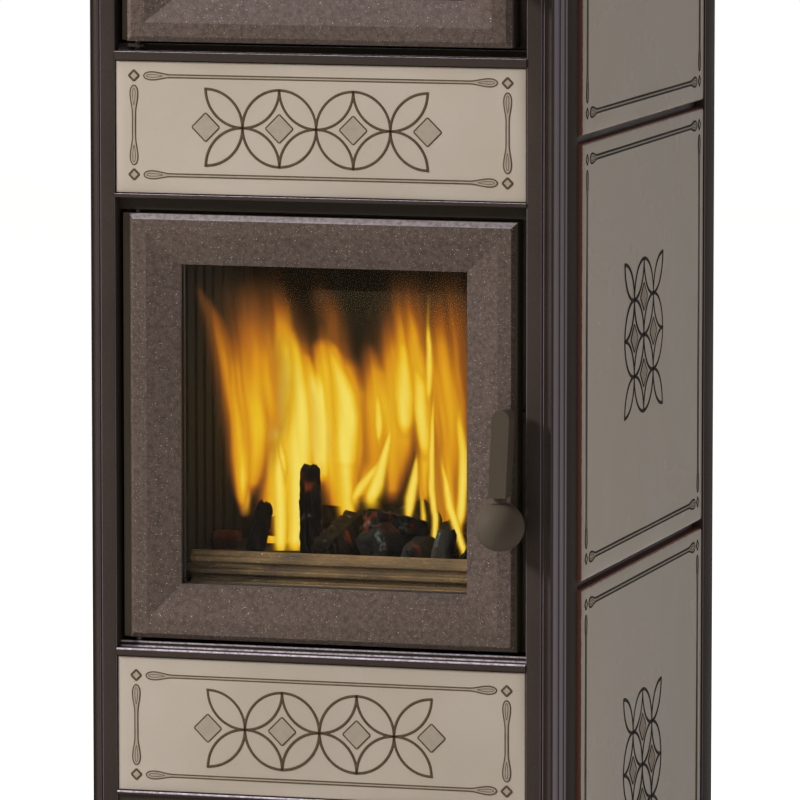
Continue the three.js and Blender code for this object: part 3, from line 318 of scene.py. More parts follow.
def cast(name, rgb, rough=0.75, metallic=0.3, pits=0.5, dust=None, stretch=(1, 1, 1)):
    """Cast or sooty surface: pits in relief and a paler dust on the high spots."""
    made, tree = new_material(name)
    where = place_of(tree, stretch)
    coarse = noise(tree, where, 60.0, 4.0, 0.6)
    fine = noise(tree, where, 480.0, 3.0, 0.6)
    tone = toned(tree, coarse, linear(rgb), 0.72, 1.25)
    if dust:
        high = maths(tree, "ADD", coarse, times(tree, fine, 0.5))
        tone = mixed(tree, levels(tree, high, 0.86, 1.0), tone, linear(dust))
    height = maths(tree, "ADD", fine, times(tree, coarse, 0.7))
    return coated(made, tree, {
        "Base Color": tone, "Metallic": metallic,
        "Roughness": levels(tree, coarse, 0.3, 0.7, rough - 0.08, rough + 0.1),
        "Specular IOR Level": 0.3, "Normal": bumped(tree, height, pits, 0.5)})


def speckled_bronze():
    """Heat-stained bronze paint on a rough casting, with bright grains scattered over it."""
    made, tree = new_material("guard_bronze")
    where = place_of(tree)
    along = place_of(tree, (0.5, 1, 1))
    distance, (pick, *_) = cells(tree, where, 520.0)
    stain = noise(tree, along, 28.0, 4.0, 0.6)
    tone = ramp(tree, levels(tree, stain, 0.3, 0.7), [
        (0.0, linear((62, 49, 32))), (0.5, linear((110, 87, 54))), (1.0, linear((142, 113, 70)))])
    grain = times(tree, levels(tree, pick, 0.8, 0.95), levels(tree, distance, 0.36, 0.14), clamp=True)
    tone = mixed(tree, grain, tone, linear((206, 176, 118)))
    dark = times(tree, levels(tree, pick, 0.3, 0.1), levels(tree, distance, 0.4, 0.2), clamp=True)
    tone = mixed(tree, times(tree, dark, 0.8), tone, linear((34, 26, 18)))
    return coated(made, tree, {
        "Base Color": tone, "Metallic": 0.35, "Roughness": 0.5,
        "Normal": bumped(tree, maths(tree, "SUBTRACT", pick, distance), 0.5, 0.5)})


def brushed(name, rgb, rough=0.36):
    made, tree = new_material(name)
    lines = noise(tree, place_of(tree, (1, 0.06, 1)), 700.0, 3.0, 0.6)
    cloud = noise(tree, place_of(tree), 14.0, 3.0)
    tone = toned(tree, cloud, linear(rgb), 0.8, 1.0)
    return coated(made, tree, {
        "Base Color": tone, "Metallic": 0.9, "Roughness": levels(tree, lines, 0.3, 0.7, rough - 0.08, rough + 0.12),
        "Normal": bumped(tree, lines, 0.15, 0.1)})


def braided_rope():
    made, tree = new_material("rope")
    where = place_of(tree)
    strands = node(tree, "ShaderNodeTexWave", {
        "Vector": where, "Scale": 120.0, "Distortion": 1.5, "Detail": 2.0}, bands_direction="DIAGONAL")
    fuzz = noise(tree, where, 900.0, 2.0)
    tone = mixed(tree, strands.outputs["Fac"], linear((44, 42, 38)), linear((84, 80, 74)))
    return coated(made, tree, {
        "Base Color": tone, "Roughness": 0.92, "Specular IOR Level": 0.15,
        "Normal": bumped(tree, maths(tree, "ADD", strands.outputs["Fac"], fuzz), 0.6, 0.8)})


def clear_glass(name, alpha, rgb=(30, 26, 22)):
    """Heat-resistant glass with a breath of soot, uneven over the pane."""
    made, tree = new_material(name)
    haze = noise(tree, place_of(tree), 11.0, 4.0)
    tone = mixed(tree, levels(tree, haze, 0.35, 0.75), linear(rgb), linear(tuple(c * 1.5 for c in rgb)))
    return coated(made, tree, {
        "Base Color": tone, "Roughness": 0.04, "Alpha": alpha, "Specular IOR Level": 0.5})


def charred_wood():
    """Burning wood: black cubed char, pale ash on the high spots, embers in the cracks."""
    made, tree = new_material("charred_wood")
    where = place_of(tree)
    distance, _ = cells(tree, place_of(tree, (1, 1, 0.6)), 90.0)
    grain = noise(tree, place_of(tree, (1, 1, 0.25)), 160.0, 4.0, 0.6, 0.4)
    tone = ramp(tree, grain, [(0.3, linear((14, 12, 9))), (0.55, linear((38, 34, 27))), (0.8, linear((76, 72, 62)))])
    ash = noise(tree, where, 46.0, 4.0, 0.65)
    tone = mixed(tree, levels(tree, ash, 0.6, 0.7), tone, linear((128, 136, 124)))
    crack = levels(tree, distance, 0.55, 0.75)
    glow = times(tree, crack, levels(tree, noise(tree, where, 26.0, 2.0), 0.56, 0.7), clamp=True)
    return coated(made, tree, {
        "Base Color": tone, "Roughness": 0.85, "Specular IOR Level": 0.2,
        "Emission Color": linear((206, 92, 34)), "Emission Strength": times(tree, glow, 0.28),
        "Normal": bumped(tree, maths(tree, "SUBTRACT", grain, times(tree, distance, 0.8)), 0.8, 2.0)})


def flame_light():
    """Light of the fire: colour from the heat of each point, clear where there is no flame."""
    made, tree = new_material("flame")
    made.cycles.emission_sampling = "NONE"
    heat = attribute(tree, "fire_heat")
    colour = ramp(tree, heat, [
        (0.0, linear((96, 66, 38))), (0.18, linear((138, 84, 38))), (0.36, linear((184, 104, 30))),
        (0.56, linear((220, 146, 22))), (0.78, linear((241, 192, 34))), (1.0, linear((252, 227, 98)))])
    light = node(tree, "ShaderNodeEmission", {"Color": colour, "Strength": 1.0})
    clear = node(tree, "ShaderNodeBsdfTransparent")
    cover = attribute(tree, "fire_cover")
    both = node(tree, "ShaderNodeMixShader", {0: cover, 1: clear.outputs[0], 2: light.outputs[0]})
    finish_with(tree, both.outputs[0])
    return made


# Light and shade painted into these paints: the colour for what lies back between the posts is painted shade on the
# brown paint and painted fill light on the door paint, and the pale colour is a painted highlight on arrises that face
# the lamps
BROWN = paint("brown_paint", (63, 55, 51), rough=0.36, grain=0.12, sparkle=0.1, specular=0.003,
              recess_painted_tone=((60, 54, 47), 0), arris_highlight=((222, 210, 224), (0.72, 0.92), (0.86, -0.51, 0.93, 0.992, 0.3)))
DOOR = paint("door_paint", (86, 74, 68), metallic=0.06, mottle=0.08, grain=0.4, sparkle=0.85, specular=0.06,
             recess_painted_tone=((94, 84, 71), 187.5), arris_highlight=((162, 152, 156), (0.88, 0.97), (0.92, -0.39, 0.98, 0.999, 0.8)))
HANDLE = paint("handle_paint", (76, 67, 57), rough=0.55, grain=0.2, specular=0.08)
SHEET = paint("dark_sheet", (52, 48, 45), rough=0.6, grain=0.3, specular=0.25)
# Pale sheet for the casing's front faces: painted fill light in the gap beside the doors
RECESS_FILL_LIGHT = paint("recess_sheet_painted_fill_light", (120, 108, 90), rough=0.6, grain=0.3, specular=0.2)
GLAZE = glaze()
LINE = enamel("ornament_line", (88, 75, 59))
# The front line's enamel again, painted much darker on the side tiles: painted shade for their dimmer, grazing view
LINE_SIDE_SHADED = enamel("ornament_line_side_shaded", (34, 28, 20))
FILL = enamel("ornament_fill", (160, 149, 135), 0.06)
IRON = cast("iron", (44, 43, 41))
BRICK = cast("sooty_brick", (40, 39, 32), rough=0.95, metallic=0.0, pits=0.6, dust=(60, 58, 46), stretch=(1, 1, 0.4))
SOOT = cast("sooty_steel", (30, 28, 25), rough=0.85, metallic=0.1, pits=0.4, dust=(64, 58, 50))
EMBER_BRICK = cast("ember_brick", (96, 58, 42), rough=0.9, metallic=0.0, pits=0.7, dust=(120, 92, 74))
BRONZE = speckled_bronze()
STEEL = brushed("bare_steel", (150, 147, 140))
PIN = brushed("dark_pin", (62, 57, 52), 0.5)
ROPE = braided_rope()
FIRE_GLASS = clear_glass("fire_glass", 0.05)
OVEN_GLASS = clear_glass("oven_glass", 0.72, (22, 19, 16))
CHAR = charred_wood()
FLAME = flame_light()
SLOTS = {
    BROWN: "brown_paint", DOOR: "door_paint", HANDLE: "handle_paint", SHEET: "dark_steel", SOOT: "dark_steel",
    IRON: "cast_iron", BRICK: "firebrick", BRONZE: "bronze", STEEL: "steel", PIN: "steel", ROPE: "seal_rope",
    FIRE_GLASS: "fire_glass", OVEN_GLASS: "fire_glass",
}


# ------------------------------------------------------------------ meshes

# Softened shapes: faces that meet at less than the first angle share their shading, large ones only under the second
SOFT_ANGLE, FLAT_ANGLE, LARGE_FACE_MM2 = 50.0, 7.0, 60
BEVEL_SEGMENTS = 3


def shape(name, points, faces, material, smooth):
    """A new object from millimetre points, its faces turned outward."""
    mesh = bpy.data.meshes.new(name)
    mesh.from_pydata([tuple(p) for p in place(points)], [], [tuple(int(i) for i in f) for f in faces])
    work = bmesh.new()
    work.from_mesh(mesh)
    bmesh.ops.recalc_face_normals(work, faces=work.faces)
    work.to_mesh(mesh)
    work.free()
    return dressed(name, mesh, material, smooth)


def dressed(name, mesh, material, smooth):
    mesh.validate()
    mesh.materials.clear()
    mesh.materials.append(material)
    mesh.shade_smooth()
    mesh.set_sharp_from_angle(angle=math.radians(smooth))
    made = bpy.data.objects.new(name, mesh)
    bpy.context.scene.collection.objects.link(made)
    return made


def carry(made, name, values):
    """Gives each point of the piece its value under the attribute's name."""
    made.data.attributes.new(name, "FLOAT", "POINT").data.foreach_set("value", values.astype(np.float32))


def weigh_normals(mesh):
    """Corner normals weighed by area, so that large faces stay flat and only the rounding between them turns."""
    work = bmesh.new()
    work.from_mesh(mesh)
    work.faces.ensure_lookup_table()
    areas = [face.calc_area() for face in work.faces]
    turned = [face.normal.copy() for face in work.faces]
    near, level = math.cos(math.radians(SOFT_ANGLE)), math.cos(math.radians(FLAT_ANGLE))
    large = LARGE_FACE_MM2 * MM * MM
    corners = []
    for face in work.faces:
        own, normal = areas[face.index], turned[face.index]
        for loop in face.loops:
            total = Vector((0, 0, 0))
            for other in loop.vert.link_faces:
                both = own > large and areas[other.index] > large
                if normal.dot(turned[other.index]) >= (level if both else near):
                    total += turned[other.index] * areas[other.index]
            corners.append(total.normalized() if total.length > 0 else normal)
    work.free()
    mesh.normals_split_custom_set(corners)


def settle(made, body, slot, *nodes):
    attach(made, body)
    if nodes:
        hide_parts(*nodes)
    return made


def softened(name, width_mm, material, body="root", angle=28.0, longer_mm=0.0):
    """The shape of a CAD node with its hard edges rounded, or only the longer ones."""
    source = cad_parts[name]
    work = bmesh.new()
    work.from_mesh(source.data)
    bmesh.ops.remove_doubles(work, verts=work.verts, dist=1e-6)
    bmesh.ops.dissolve_limit(work, angle_limit=math.radians(1.0), verts=work.verts, edges=work.edges)
    hard = [e for e in work.edges if len(e.link_faces) == 2 and e.calc_face_angle(0.0) > math.radians(angle)
            and e.calc_length() > longer_mm * MM]
    bmesh.ops.bevel(work, geom=hard, offset=width_mm * MM, segments=BEVEL_SEGMENTS, profile=0.5, affect="EDGES",
                    clamp_overlap=True)
    bmesh.ops.triangulate(work, faces=[f for f in work.faces if len(f.verts) > 4])
    mesh = bpy.data.meshes.new(name + "_soft")
    work.to_mesh(mesh)
    work.free()
    made = dressed(name + "_soft", mesh, material, SOFT_ANGLE)
    weigh_normals(made.data)
    return settle(made, body, SLOTS[material], name)


def front_faces(made, material, limit_mm):
    """Gives another material to the faces that lie nearer than the limit."""
    made.data.materials.append(material)
    limit = (limit_mm - CENTRE_Y) * MM
    for face in made.data.polygons:
        if face.center.y < limit:
            face.material_index = 1


def lofted(rings, sides, closed=False, first=0):
    """Faces between neighbouring rings of points, and from the last ring to the first where closed."""
    at = lambda i, k: first + i % rings * sides + k % sides
    return [(at(i, k), at(i, k + 1), at(i + 1, k + 1), at(i + 1, k))
            for i in range(rings if closed else rings - 1) for k in range(sides)]


def prism(outline, low, high, mirror=1):
    """A closed bar of the given outline between two stations."""
    count = len(outline)
    points = [(mirror * a, b, station) for station in (low, high) for a, b in outline]
    return points, lofted(2, count) + [tuple(range(count)), tuple(range(2 * count - 1, count - 1, -1))]


def arc(centre, radius, start, end, steps):
    angles = np.radians(np.linspace(start, end, steps + 1))
    return [(centre[0] + radius * math.cos(t), centre[1] + radius * math.sin(t)) for t in angles]


# ------------------------------------------------------------------ corner posts


def front_post_outline():
    """Plan of the right front post: flat, groove, hollow strip, two beads and plain side."""
    inner, strip = POST_INNER, POST_STRIP_EDGE
    flat = inner + 14
    points = [(inner, 4), (inner, 1)] + arc((inner + 1, 1), 1, 180, 270, 4)[1:]
    points += [(flat - 0.3, 0.0), (flat + 0.1, 0.4), (flat + 0.4, 1.4), (flat + 0.9, 1.7), (flat + 1.5, 1.7),
               (flat + 2.0, 1.4), (flat + 2.4, 0.4), (flat + 2.8, 0.05), (flat + 3.3, 0.0)]
    points += [(strip - 6.0, 0.4), (strip - 5.1, 0.9), (strip - 4.0, 1.3), (strip - 2.9, 1.4), (strip - 2.0, 1.2),
               (strip - 1.3, 0.8), (strip - 0.7, 0.3), (strip - 0.4, 0.1), (strip - 0.1, 0.3), (strip, 0.8)]
    points += [(strip + outward, backward) for outward, backward in POST_MOULDING]
    points += [(POST_SIDE, POST_SIDE_START), (POST_SIDE, POST_DEPTH - 1), (POST_SIDE - 1, POST_DEPTH),
               (inner, POST_DEPTH)]
    return points


def make_posts():
    outline = front_post_outline()
    edge = 235.6
    rear = [(POST_INNER, REAR_POST_FRONT), (edge, REAR_POST_FRONT)]
    rear += arc((edge, REAR_POST_FRONT + 1.4), 1.4, -90, 0, 4)[1:]
    rear += arc((edge - 1.6, BODY_BACK - 3), 3.0, 0, 90, 6) + [(POST_INNER, BODY_BACK)]
    for side, sign in (("right", 1), ("left", -1)):
        for end, plan in (("front", outline), ("rear", rear)):
            points, faces = prism(plan, POST_BOTTOM, POST_TOP, sign)
            made = shape(f"post_{end}_{side}_formed", points, faces, BROWN, 24.0)
            settle(made, "root", "brown_paint", f"post_{end}_{side}")


# ------------------------------------------------------------------ tiles and their ornament


def tile_axis(low, high, rounding):
    """Stations across a tile, close together over its rounded edges."""
    near = rounding * np.array([0.0, 0.1, 0.23, 0.4, 0.63, 1.0])
    inner = np.linspace(low + rounding, high - rounding, max(3, int((high - low) / TILE_PITCH)))[1:-1]
    return np.concatenate([low + near, inner, high - near[::-1]])


def tile_piece(name, a_range, b_range, to_point, swell_seed, rounding):
    """A handmade tile: rounded edges and a face that swells and sinks by a tenth of a millimetre or two."""
    a, b = tile_axis(*a_range, rounding), tile_axis(*b_range, rounding)
    ga, gb = np.meshgrid(a, b, indexing="ij")
    reach_a = np.minimum(ga - a_range[0], a_range[1] - ga)
    reach_b = np.minimum(gb - b_range[0], b_range[1] - gb)
    fall_a = np.clip(rounding - reach_a, 0, None)
    fall_b = np.clip(rounding - reach_b, 0, None)
    over = np.sqrt(np.clip(rounding**2 - fall_a**2 - fall_b**2, 0, None))
    draw = np.random.default_rng(swell_seed)
    swell = np.zeros_like(ga)
    for _ in range(5):
        wave_a, wave_b = draw.uniform(-0.035, 0.035, 2)
        swell += 0.05 * np.sin(wave_a * ga + wave_b * gb + draw.uniform(0, 6.3))
    face = over - rounding + np.where((fall_a + fall_b) == 0, swell - 0.2, -0.2)
    rows, cols = ga.shape
    points = [to_point(x, y, h) for x, y, h in zip(ga.ravel(), gb.ravel(), face.ravel())]
    at = lambda i, j: i * cols + j
    faces = [(at(i, j), at(i + 1, j), at(i + 1, j + 1), at(i, j + 1))
             for i in range(rows - 1) for j in range(cols - 1)]
    rim = [at(i, 0) for i in range(rows)] + [at(rows - 1, j) for j in range(1, cols)]
    rim += [at(i, cols - 1) for i in range(rows - 2, -1, -1)] + [at(0, j) for j in range(cols - 2, 0, -1)]
    base = len(points)
    for index in rim:
        i, j = divmod(index, cols)
        points.append(to_point(ga[i, j], gb[i, j], -TILE_THICKNESS))
    count = len(rim)
    faces += [(rim[k], rim[(k + 1) % count], base + (k + 1) % count, base + k) for k in range(count)]
    faces.append(tuple(base + k for k in range(count)))
    made = shape(name, points, faces, GLAZE, 50.0)
    near = np.minimum(reach_a, reach_b).ravel()
    edge = np.concatenate([np.clip(1 - near / (0.9 * rounding), 0, 1), np.ones(count)])
    carry(made, "edge", edge)
    return made


def ribbon(path, width, rise, closed):
    """A low rounded line along a path: points as (a, b, height) and faces."""
    path = np.asarray(path, float)
    count = len(path)
    if closed:
        along = np.roll(path, -1, 0) - np.roll(path, 1, 0)
    else:
        along = np.gradient(path, axis=0)
    along /= np.linalg.norm(along, axis=1)[:, None]
    across = np.column_stack([-along[:, 1], along[:, 0]]) * np.reshape(width, (-1, 1)) / 2
    section = [(-1, -0.3), (-0.85, 0.45), (-0.35, 0.95), (0.35, 0.95), (0.85, 0.45), (1, -0.3)]
    points = []
    for side, up in section:
        ring = path + across * side
        points.append(np.column_stack([ring, np.full(count, up * rise)]))
    points = np.stack(points, 1).reshape(-1, 3)
    sides = len(section)
    faces = lofted(count, sides, closed)
    if not closed:
        faces += [tuple(range(sides)), tuple((count - 1) * sides + k for k in range(sides))]
    return points, faces


class Ornament:
    """Collects lines and fills on one tile face."""

    def __init__(self, to_point):
        self.to_point = to_point
        self.parts = {"line": ([], []), "fill": ([], [])}

    def take(self, kind, points, faces):
        kept, all_faces = self.parts[kind]
        base = len(kept)
        kept.extend(self.to_point(*p) for p in points)
        all_faces.extend(tuple(base + i for i in f) for f in faces)

    def line(self, path, width, closed=False, rise=0.32):
        self.take("line", *ribbon(path, width, rise, closed))

    def fill(self, outline):
        self.take("fill", *prism(outline, -0.25, 0.12))

    def diamond(self, a, b, half, width, stretch=1.0):
        corners = [(a + half, b), (a, b + half * stretch), (a - half, b), (a, b - half * stretch)]
        path = []
        for (x0, y0), (x1, y1) in zip(corners, corners[1:] + corners[:1]):
            for t in (0.04, 0.35, 0.65, 0.96):
                path.append((x0 + (x1 - x0) * t, y0 + (y1 - y0) * t))
        self.line(path, width, closed=True)
        self.fill(corners)

    def spindle(self, start, end, bulb, waist, width=1.3):
        """A double line that swells into a drop at each end."""
        start, end = np.array(start, float), np.array(end, float)
        length = np.linalg.norm(end - start)
        ahead = (end - start) / length
        aside = np.array([-ahead[1], ahead[0]])
        peak, head = 7.5, 27.0
        stations = np.concatenate([[0.0, 0.25, 0.8, 1.8, 3.2, 5.0], np.arange(peak, head, 2.5)])
        stations = np.concatenate([stations, np.linspace(head, length - head, 8), (length - stations)[::-1]])
        reach = np.minimum(stations, length - stations)
        tip = bulb * np.sqrt(np.clip(1 - (1 - np.clip(reach / peak, 0, 1)) ** 2, 0, 1))
        tail = waist + (bulb - waist) * (0.5 + 0.5 * np.cos(np.pi * np.clip((reach - peak) / (head - peak), 0, 1)))
        half = np.where(reach < peak, tip, tail)
        upper = start + np.outer(stations, ahead) + np.outer(half, aside)
        lower = start + np.outer(stations, ahead) - np.outer(half, aside)
        outline = np.vstack([upper, lower[::-1][1:-1]])
        self.line(outline, width, closed=True)
        self.fill(outline)
        for origin, forward in ((start, ahead), (end, -ahead)):
            drop = []
            for t in np.linspace(0, 2 * np.pi, 18, endpoint=False):
                run = 10.5 - 8.0 * math.cos(t)
                drop.append(origin + forward * run + aside * (bulb - 2.1) * math.sin(t) * (1.15 - run / 26))
            self.line(drop, DROP_LINE, closed=True, rise=0.24)

    def quarter(self, centre, radius, start, width=2.6):
        self.line(arc(centre, radius, start - 2, start + 92, 16), width)

    def done(self, name, line_material):
        for kind, material in (("line", line_material), ("fill", FILL)):
            points, faces = self.parts[kind]
            made = shape(f"{name}_{kind}", points, faces, material, 60.0)
            settle(made, "root", "glaze")


def front_ornament(name, tile):
    lift = lambda x, z, h: (x, FRONT_FACE + ORNAMENT_BASE - h, z)
    art = Ornament(lift)
    low, high = tile["diamonds"]
    edge = 181.8
    for x in (-edge, edge):
        for z in (low, high):
            art.diamond(x, z, CORNER_DIAMOND, CORNER_LINE)
        art.spindle((x, low + 9.2), (x, high - 9.2), BULB, 1.45)
    for z in (low, high):
        art.spindle((9.8 - edge, z), (edge - 9.8, z), BULB, 1.25)
    step, middle = tile["step"], tile["centre"]
    radius = step / 2
    centres = [tile["first"] + radius * (2 * k - 1) for k in range(4)]
    for k, x in enumerate(centres):
        art.diamond(x, middle, LARGE_DIAMOND, 1.5)
        quadrants = {0: (0, 270), 3: (90, 180)}.get(k, (0, 90, 180, 270))
        for start in quadrants:
            art.quarter((x, middle), radius, start)
            corner_a = radius if start in (0, 270) else -radius
            corner_b = radius if start in (0, 90) else -radius
            art.quarter((x + corner_a, middle + corner_b), radius, (start + 180) % 360)
    art.done(name, LINE)


def side_ornament(name, z_range, sign):
    lift = lambda y, z, h: (sign * (SIDE_FACE - ORNAMENT_BASE + h), y, z)
    art = Ornament(lift)
    front, rear = 87.3, 527.0
    low, high = z_range[0] + 20.6, z_range[1] - 16.2
    for y in (front, rear):
        for z in (low, high):
            art.diamond(y, z, CORNER_DIAMOND, CORNER_LINE)
        art.spindle((y, low + 10.5), (y, high - 10.5), BULB, 1.7, 2.4)
    for z in (low, high):
        art.spindle((front + 10.5, z), (rear - 10.5, z), 4.6, 1.7, 2.1)
    radius = 37.0
    mid_y, mid_z = 306.0, (z_range[0] + z_range[1]) / 2 + 4.0
    drawn = set()

    def quarter(i, j, start):
        if (i, j, start) not in drawn:
            drawn.add((i, j, start))
            art.quarter((mid_y + i * radius, mid_z + j * radius), radius, start, 3.6)

    for i, j in ((-1, 0), (1, 0), (0, 1), (0, -1)):
        art.diamond(mid_y + i * radius, mid_z + j * radius, LARGE_DIAMOND, 2.2)
        for start in (0, 90, 180, 270):
            quarter(i, j, start)
            corner_i = i + (1 if start in (0, 270) else -1)
            corner_j = j + (1 if start in (0, 90) else -1)
            quarter(corner_i, corner_j, (start + 180) % 360)
    leaves = {(-1, 1): (0, 180), (1, 1): (90, 270), (-1, -1): (270, 90), (1, -1): (180, 0)}
    for (si, sj), (first, second) in leaves.items():
        quarter(2 * si, sj, first)
        quarter(si, 2 * sj, second)
    # Side ornament lines in the darker, painted-shade copy of the line enamel
    art.done(name, LINE_SIDE_SHADED)


def make_tiles():
    for row, tile in FRONT_TILES.items():
        to_point = lambda x, z, h: (x, FRONT_FACE - h, z)
        made = tile_piece(f"front_tile_{row}_glazed", (-FRONT_TILE_HALF, FRONT_TILE_HALF), tile["z"], to_point,
                          3 if row == "upper" else 4, FRONT_ROUND)
        settle(made, "root", "glaze", f"front_tile_{row}")
        front_ornament(f"front_ornament_{row}", tile)
    for seed, (row, z_range) in enumerate(SIDE_TILE_Z.items()):
        for side, sign in (("right", 1), ("left", -1)):
            to_point = lambda y, z, h: (sign * (SIDE_FACE + h), y, z)
            made = tile_piece(f"side_tile_{side}_{row}_glazed", SIDE_TILE_Y, z_range, to_point, 10 + seed, SIDE_ROUND)
            settle(made, "root", "glaze", f"side_tile_{side}_{row}")
            side_ornament(f"side_ornament_{side}_{row}", z_range, sign)


# ------------------------------------------------------------------ carried-over metal parts


def make_metalwork():
    for name, width, material in (
        ("plinth", 1.5, BROWN), ("front_panel_upper", 1.8, BROWN), ("front_panel_lower", 1.8, BROWN),
        ("rail_top", 0.8, BROWN), ("cornice", 1.2, BROWN), ("top_plate", 0.6, IRON), ("flue_collar", 0.8, IRON),
        ("rear_panel", 0.8, SHEET), ("side_panel_left", 0.8, SHEET), ("side_panel_right", 0.8, SHEET),
        ("core_casing", 0.8, SOOT), ("hearth_plate", 0.6, IRON), ("grate", 1.0, IRON), ("baffle_plate", 1.0, IRON),
        ("ash_pan", 0.4, SHEET), ("oven_liner", 0.5, STEEL), ("oven_rack", 1.0, STEEL),
        ("firebrick_rear", 1.5, BRICK), ("log_guard", 1.7, BRONZE),
    ):
        longer = PANEL_EDGE_LENGTH if name.startswith("front_panel") else 0.0
        made = softened(name, width, material, longer_mm=longer)
        if name == "core_casing":
            # The casing's front faces get the pale sheet, painted fill light
            front_faces(made, RECESS_FILL_LIGHT, CASING_FRONT)
    for end in ("front", "rear"):
        for side in ("left", "right"):
            softened(f"foot_{end}_{side}", 0.8, IRON)
    for door, glass in (("fire_door", FIRE_GLASS), ("oven_door", OVEN_GLASS)):
        softened(f"{door}_frame", 1.0, DOOR, door)
        softened(f"{door}_glass", 0.5, glass, door)
        softened(f"{door}_glass_clamp", 0.8, SHEET, door)
        softened(f"{door}_gasket", 2.4, ROPE, door)
        softened(f"{door}_handle_arm", 1.6, HANDLE, f"{door}_handle", angle=40.0)
        softened(f"{door}_latch", 0.6, PIN, f"{door}_handle")
        for end in ("lower", "upper"):
            softened(f"{door}_pin_{end}", 0.6, PIN)
    softened("wood_drawer_front", 0.8, BROWN, "wood_drawer")
    softened("wood_drawer_box", 0.8, SHEET, "wood_drawer")
    for rod in ("primary_air", "secondary_air", "smoke_bypass"):
        softened(f"{rod}_rod", 0.5, STEEL, rod)


def make_balls():
    """The ball of each handle, flat on top where its neck meets it."""
    radius, flat, turns, rings = 23.3, 1.8, 56, 34
    for door in ("fire_door", "oven_door"):
        low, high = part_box(f"{door}_handle_ball")
        x = (low.x + high.x) / 2 / MM
        y = (low.y + high.y) / 2 / MM + CENTRE_Y
        z = low.z / MM + radius
        last = math.pi - math.acos((radius - flat) / radius)
        points = [(x, y, z - radius)]
        for ring in range(1, rings + 1):
            angle = last * ring / rings
            for turn in range(turns):
                around = 2 * math.pi * turn / turns
                points.append((x + radius * math.sin(angle) * math.cos(around),
                               y + radius * math.sin(angle) * math.sin(around), z - radius * math.cos(angle)))
        faces = [(0, 1 + (turn + 1) % turns, 1 + turn) for turn in range(turns)]
        faces += lofted(rings, turns, first=1) + [tuple(1 + (rings - 1) * turns + turn for turn in range(turns))]
        made = shape(f"{door}_ball_turned", points, faces, HANDLE, 30.0)
        settle(made, f"{door}_handle", "handle_paint", f"{door}_handle_ball")


# ------------------------------------------------------------------ fire


def make_ribbed_bricks():
    """Side bricks with upright half-round ribs on the face towards the fire."""
    front, rear = FIREBOX_Y
    crest = 2.6
    outline = [(front, 0.0)]
    for middle in RIB_MIDDLES:
        rib = [(middle - 4.5 * math.cos(t), -0.9 + 3.4 * math.sin(t)) for t in np.radians(np.linspace(15, 165, 7))]
        outline += [(middle - 6, 0.0)] + rib + [(middle + 6, 0.0)]
    outline += [(rear, 0.0)]
    for side, sign in (("right", 1), ("left", -1)):
        plan = [(BRICK_FACE + crest - rise, y) for y, rise in outline] + [(BRICK_BACK, rear), (BRICK_BACK, front)]
        points, faces = prism(plan, *FIREBOX_Z, sign)
        made = shape(f"firebrick_{side}_ribbed", points, faces, BRICK, 30.0)
        settle(made, "root", "firebrick", f"firebrick_{side}")


def rough_log(name, start, end, radius, seed, material):
    """A split, charred log: an uneven round with broken ends."""
    lobe_count, sides, steps = 5, 22, 26
    draw = np.random.default_rng(seed)
    start, end = np.array(start, float), np.array(end, float)
    axis = (end - start) / np.linalg.norm(end - start)
    helper = np.array([0, 0, 1.0]) if abs(axis[2]) < 0.8 else np.array([0, 1.0, 0])
    side = np.cross(axis, helper)
    side /= np.linalg.norm(side)
    up = np.cross(side, axis)
    lobes = [(draw.uniform(0.03, 0.09), k, draw.uniform(0, 6.3)) for k in range(2, lobe_count + 2)]
    points = []
    for step in range(steps + 1):
        t = step / steps
        centre = start + (end - start) * t
        taper = 1 - 0.1 * abs(2 * t - 1) ** 3 - 0.3 * abs(2 * t - 1) ** 24
        ring = draw.uniform(-0.035, 0.035)
        for k in range(sides):
            around = 2 * math.pi * k / sides
            size = 1 + sum(a * math.cos(n * around + p) for a, n, p in lobes) + ring + draw.uniform(-0.05, 0.05)
            offset = radius * taper * size
            push = draw.uniform(-1, 1) * (2.2 if step in (0, steps) else 0.5)
            points.append(centre + offset * (math.cos(around) * side + math.sin(around) * up) + axis * push)
    faces = lofted(steps + 1, sides)
    for step in (0, steps):
        middle = len(points)
        centre = start if step == 0 else end
        points.append(centre + axis * draw.uniform(-1.5, 1.5))
        faces += [(step * sides + k, step * sides + (k + 1) % sides, middle) for k in range(sides)]
    settle(shape(name, points, faces, material, 35.0), "root", "firebrick")


def make_logs():
    for seed, (name, start, end, radius) in enumerate((
        ("log_rear", (-138, 262, 493), (70, 268, 497), 17), ("log_left", (-100, 110, 478), (-96, 138, 531), 8.5),
        ("log_upright", (-53, 150, 476), (-57, 162, 566), 11), ("log_middle", (-24, 92, 484), (-20, 250, 508), 18),
        ("log_large", (26, 96, 497), (30, 255, 506), 21), ("log_slope", (10, 120, 520), (62, 150, 508), 13),
        ("log_right", (62, 92, 488), (70, 240, 496), 14), ("log_corner", (91, 88, 480), (99, 98, 517), 9),
        ("log_far_right", (120, 100, 488), (118, 250, 498), 14),
        ("ember_block", (-164, 190, 487), (-138, 194, 488), 8),
    ), 21):
        rough_log(name, start, end, radius, seed, EMBER_BRICK if name == "ember_block" else CHAR)


def value_noise(x, z, seed):
    """Smooth noise of 0 to 1 on a lattice of unit cells."""
    grid = np.random.default_rng(seed).random((256, 256))
    xi, zi = np.floor(x).astype(int), np.floor(z).astype(int)
    fx, fz = x - xi, z - zi
    fx, fz = fx * fx * (3 - 2 * fx), fz * fz * (3 - 2 * fz)
    pick = lambda i, j: grid[(xi + i) % 256, (zi + j) % 256]
    low = pick(0, 0) * (1 - fx) + pick(1, 0) * fx
    high = pick(0, 1) * (1 - fx) + pick(1, 1) * fx
    return low * (1 - fz) + high * fz


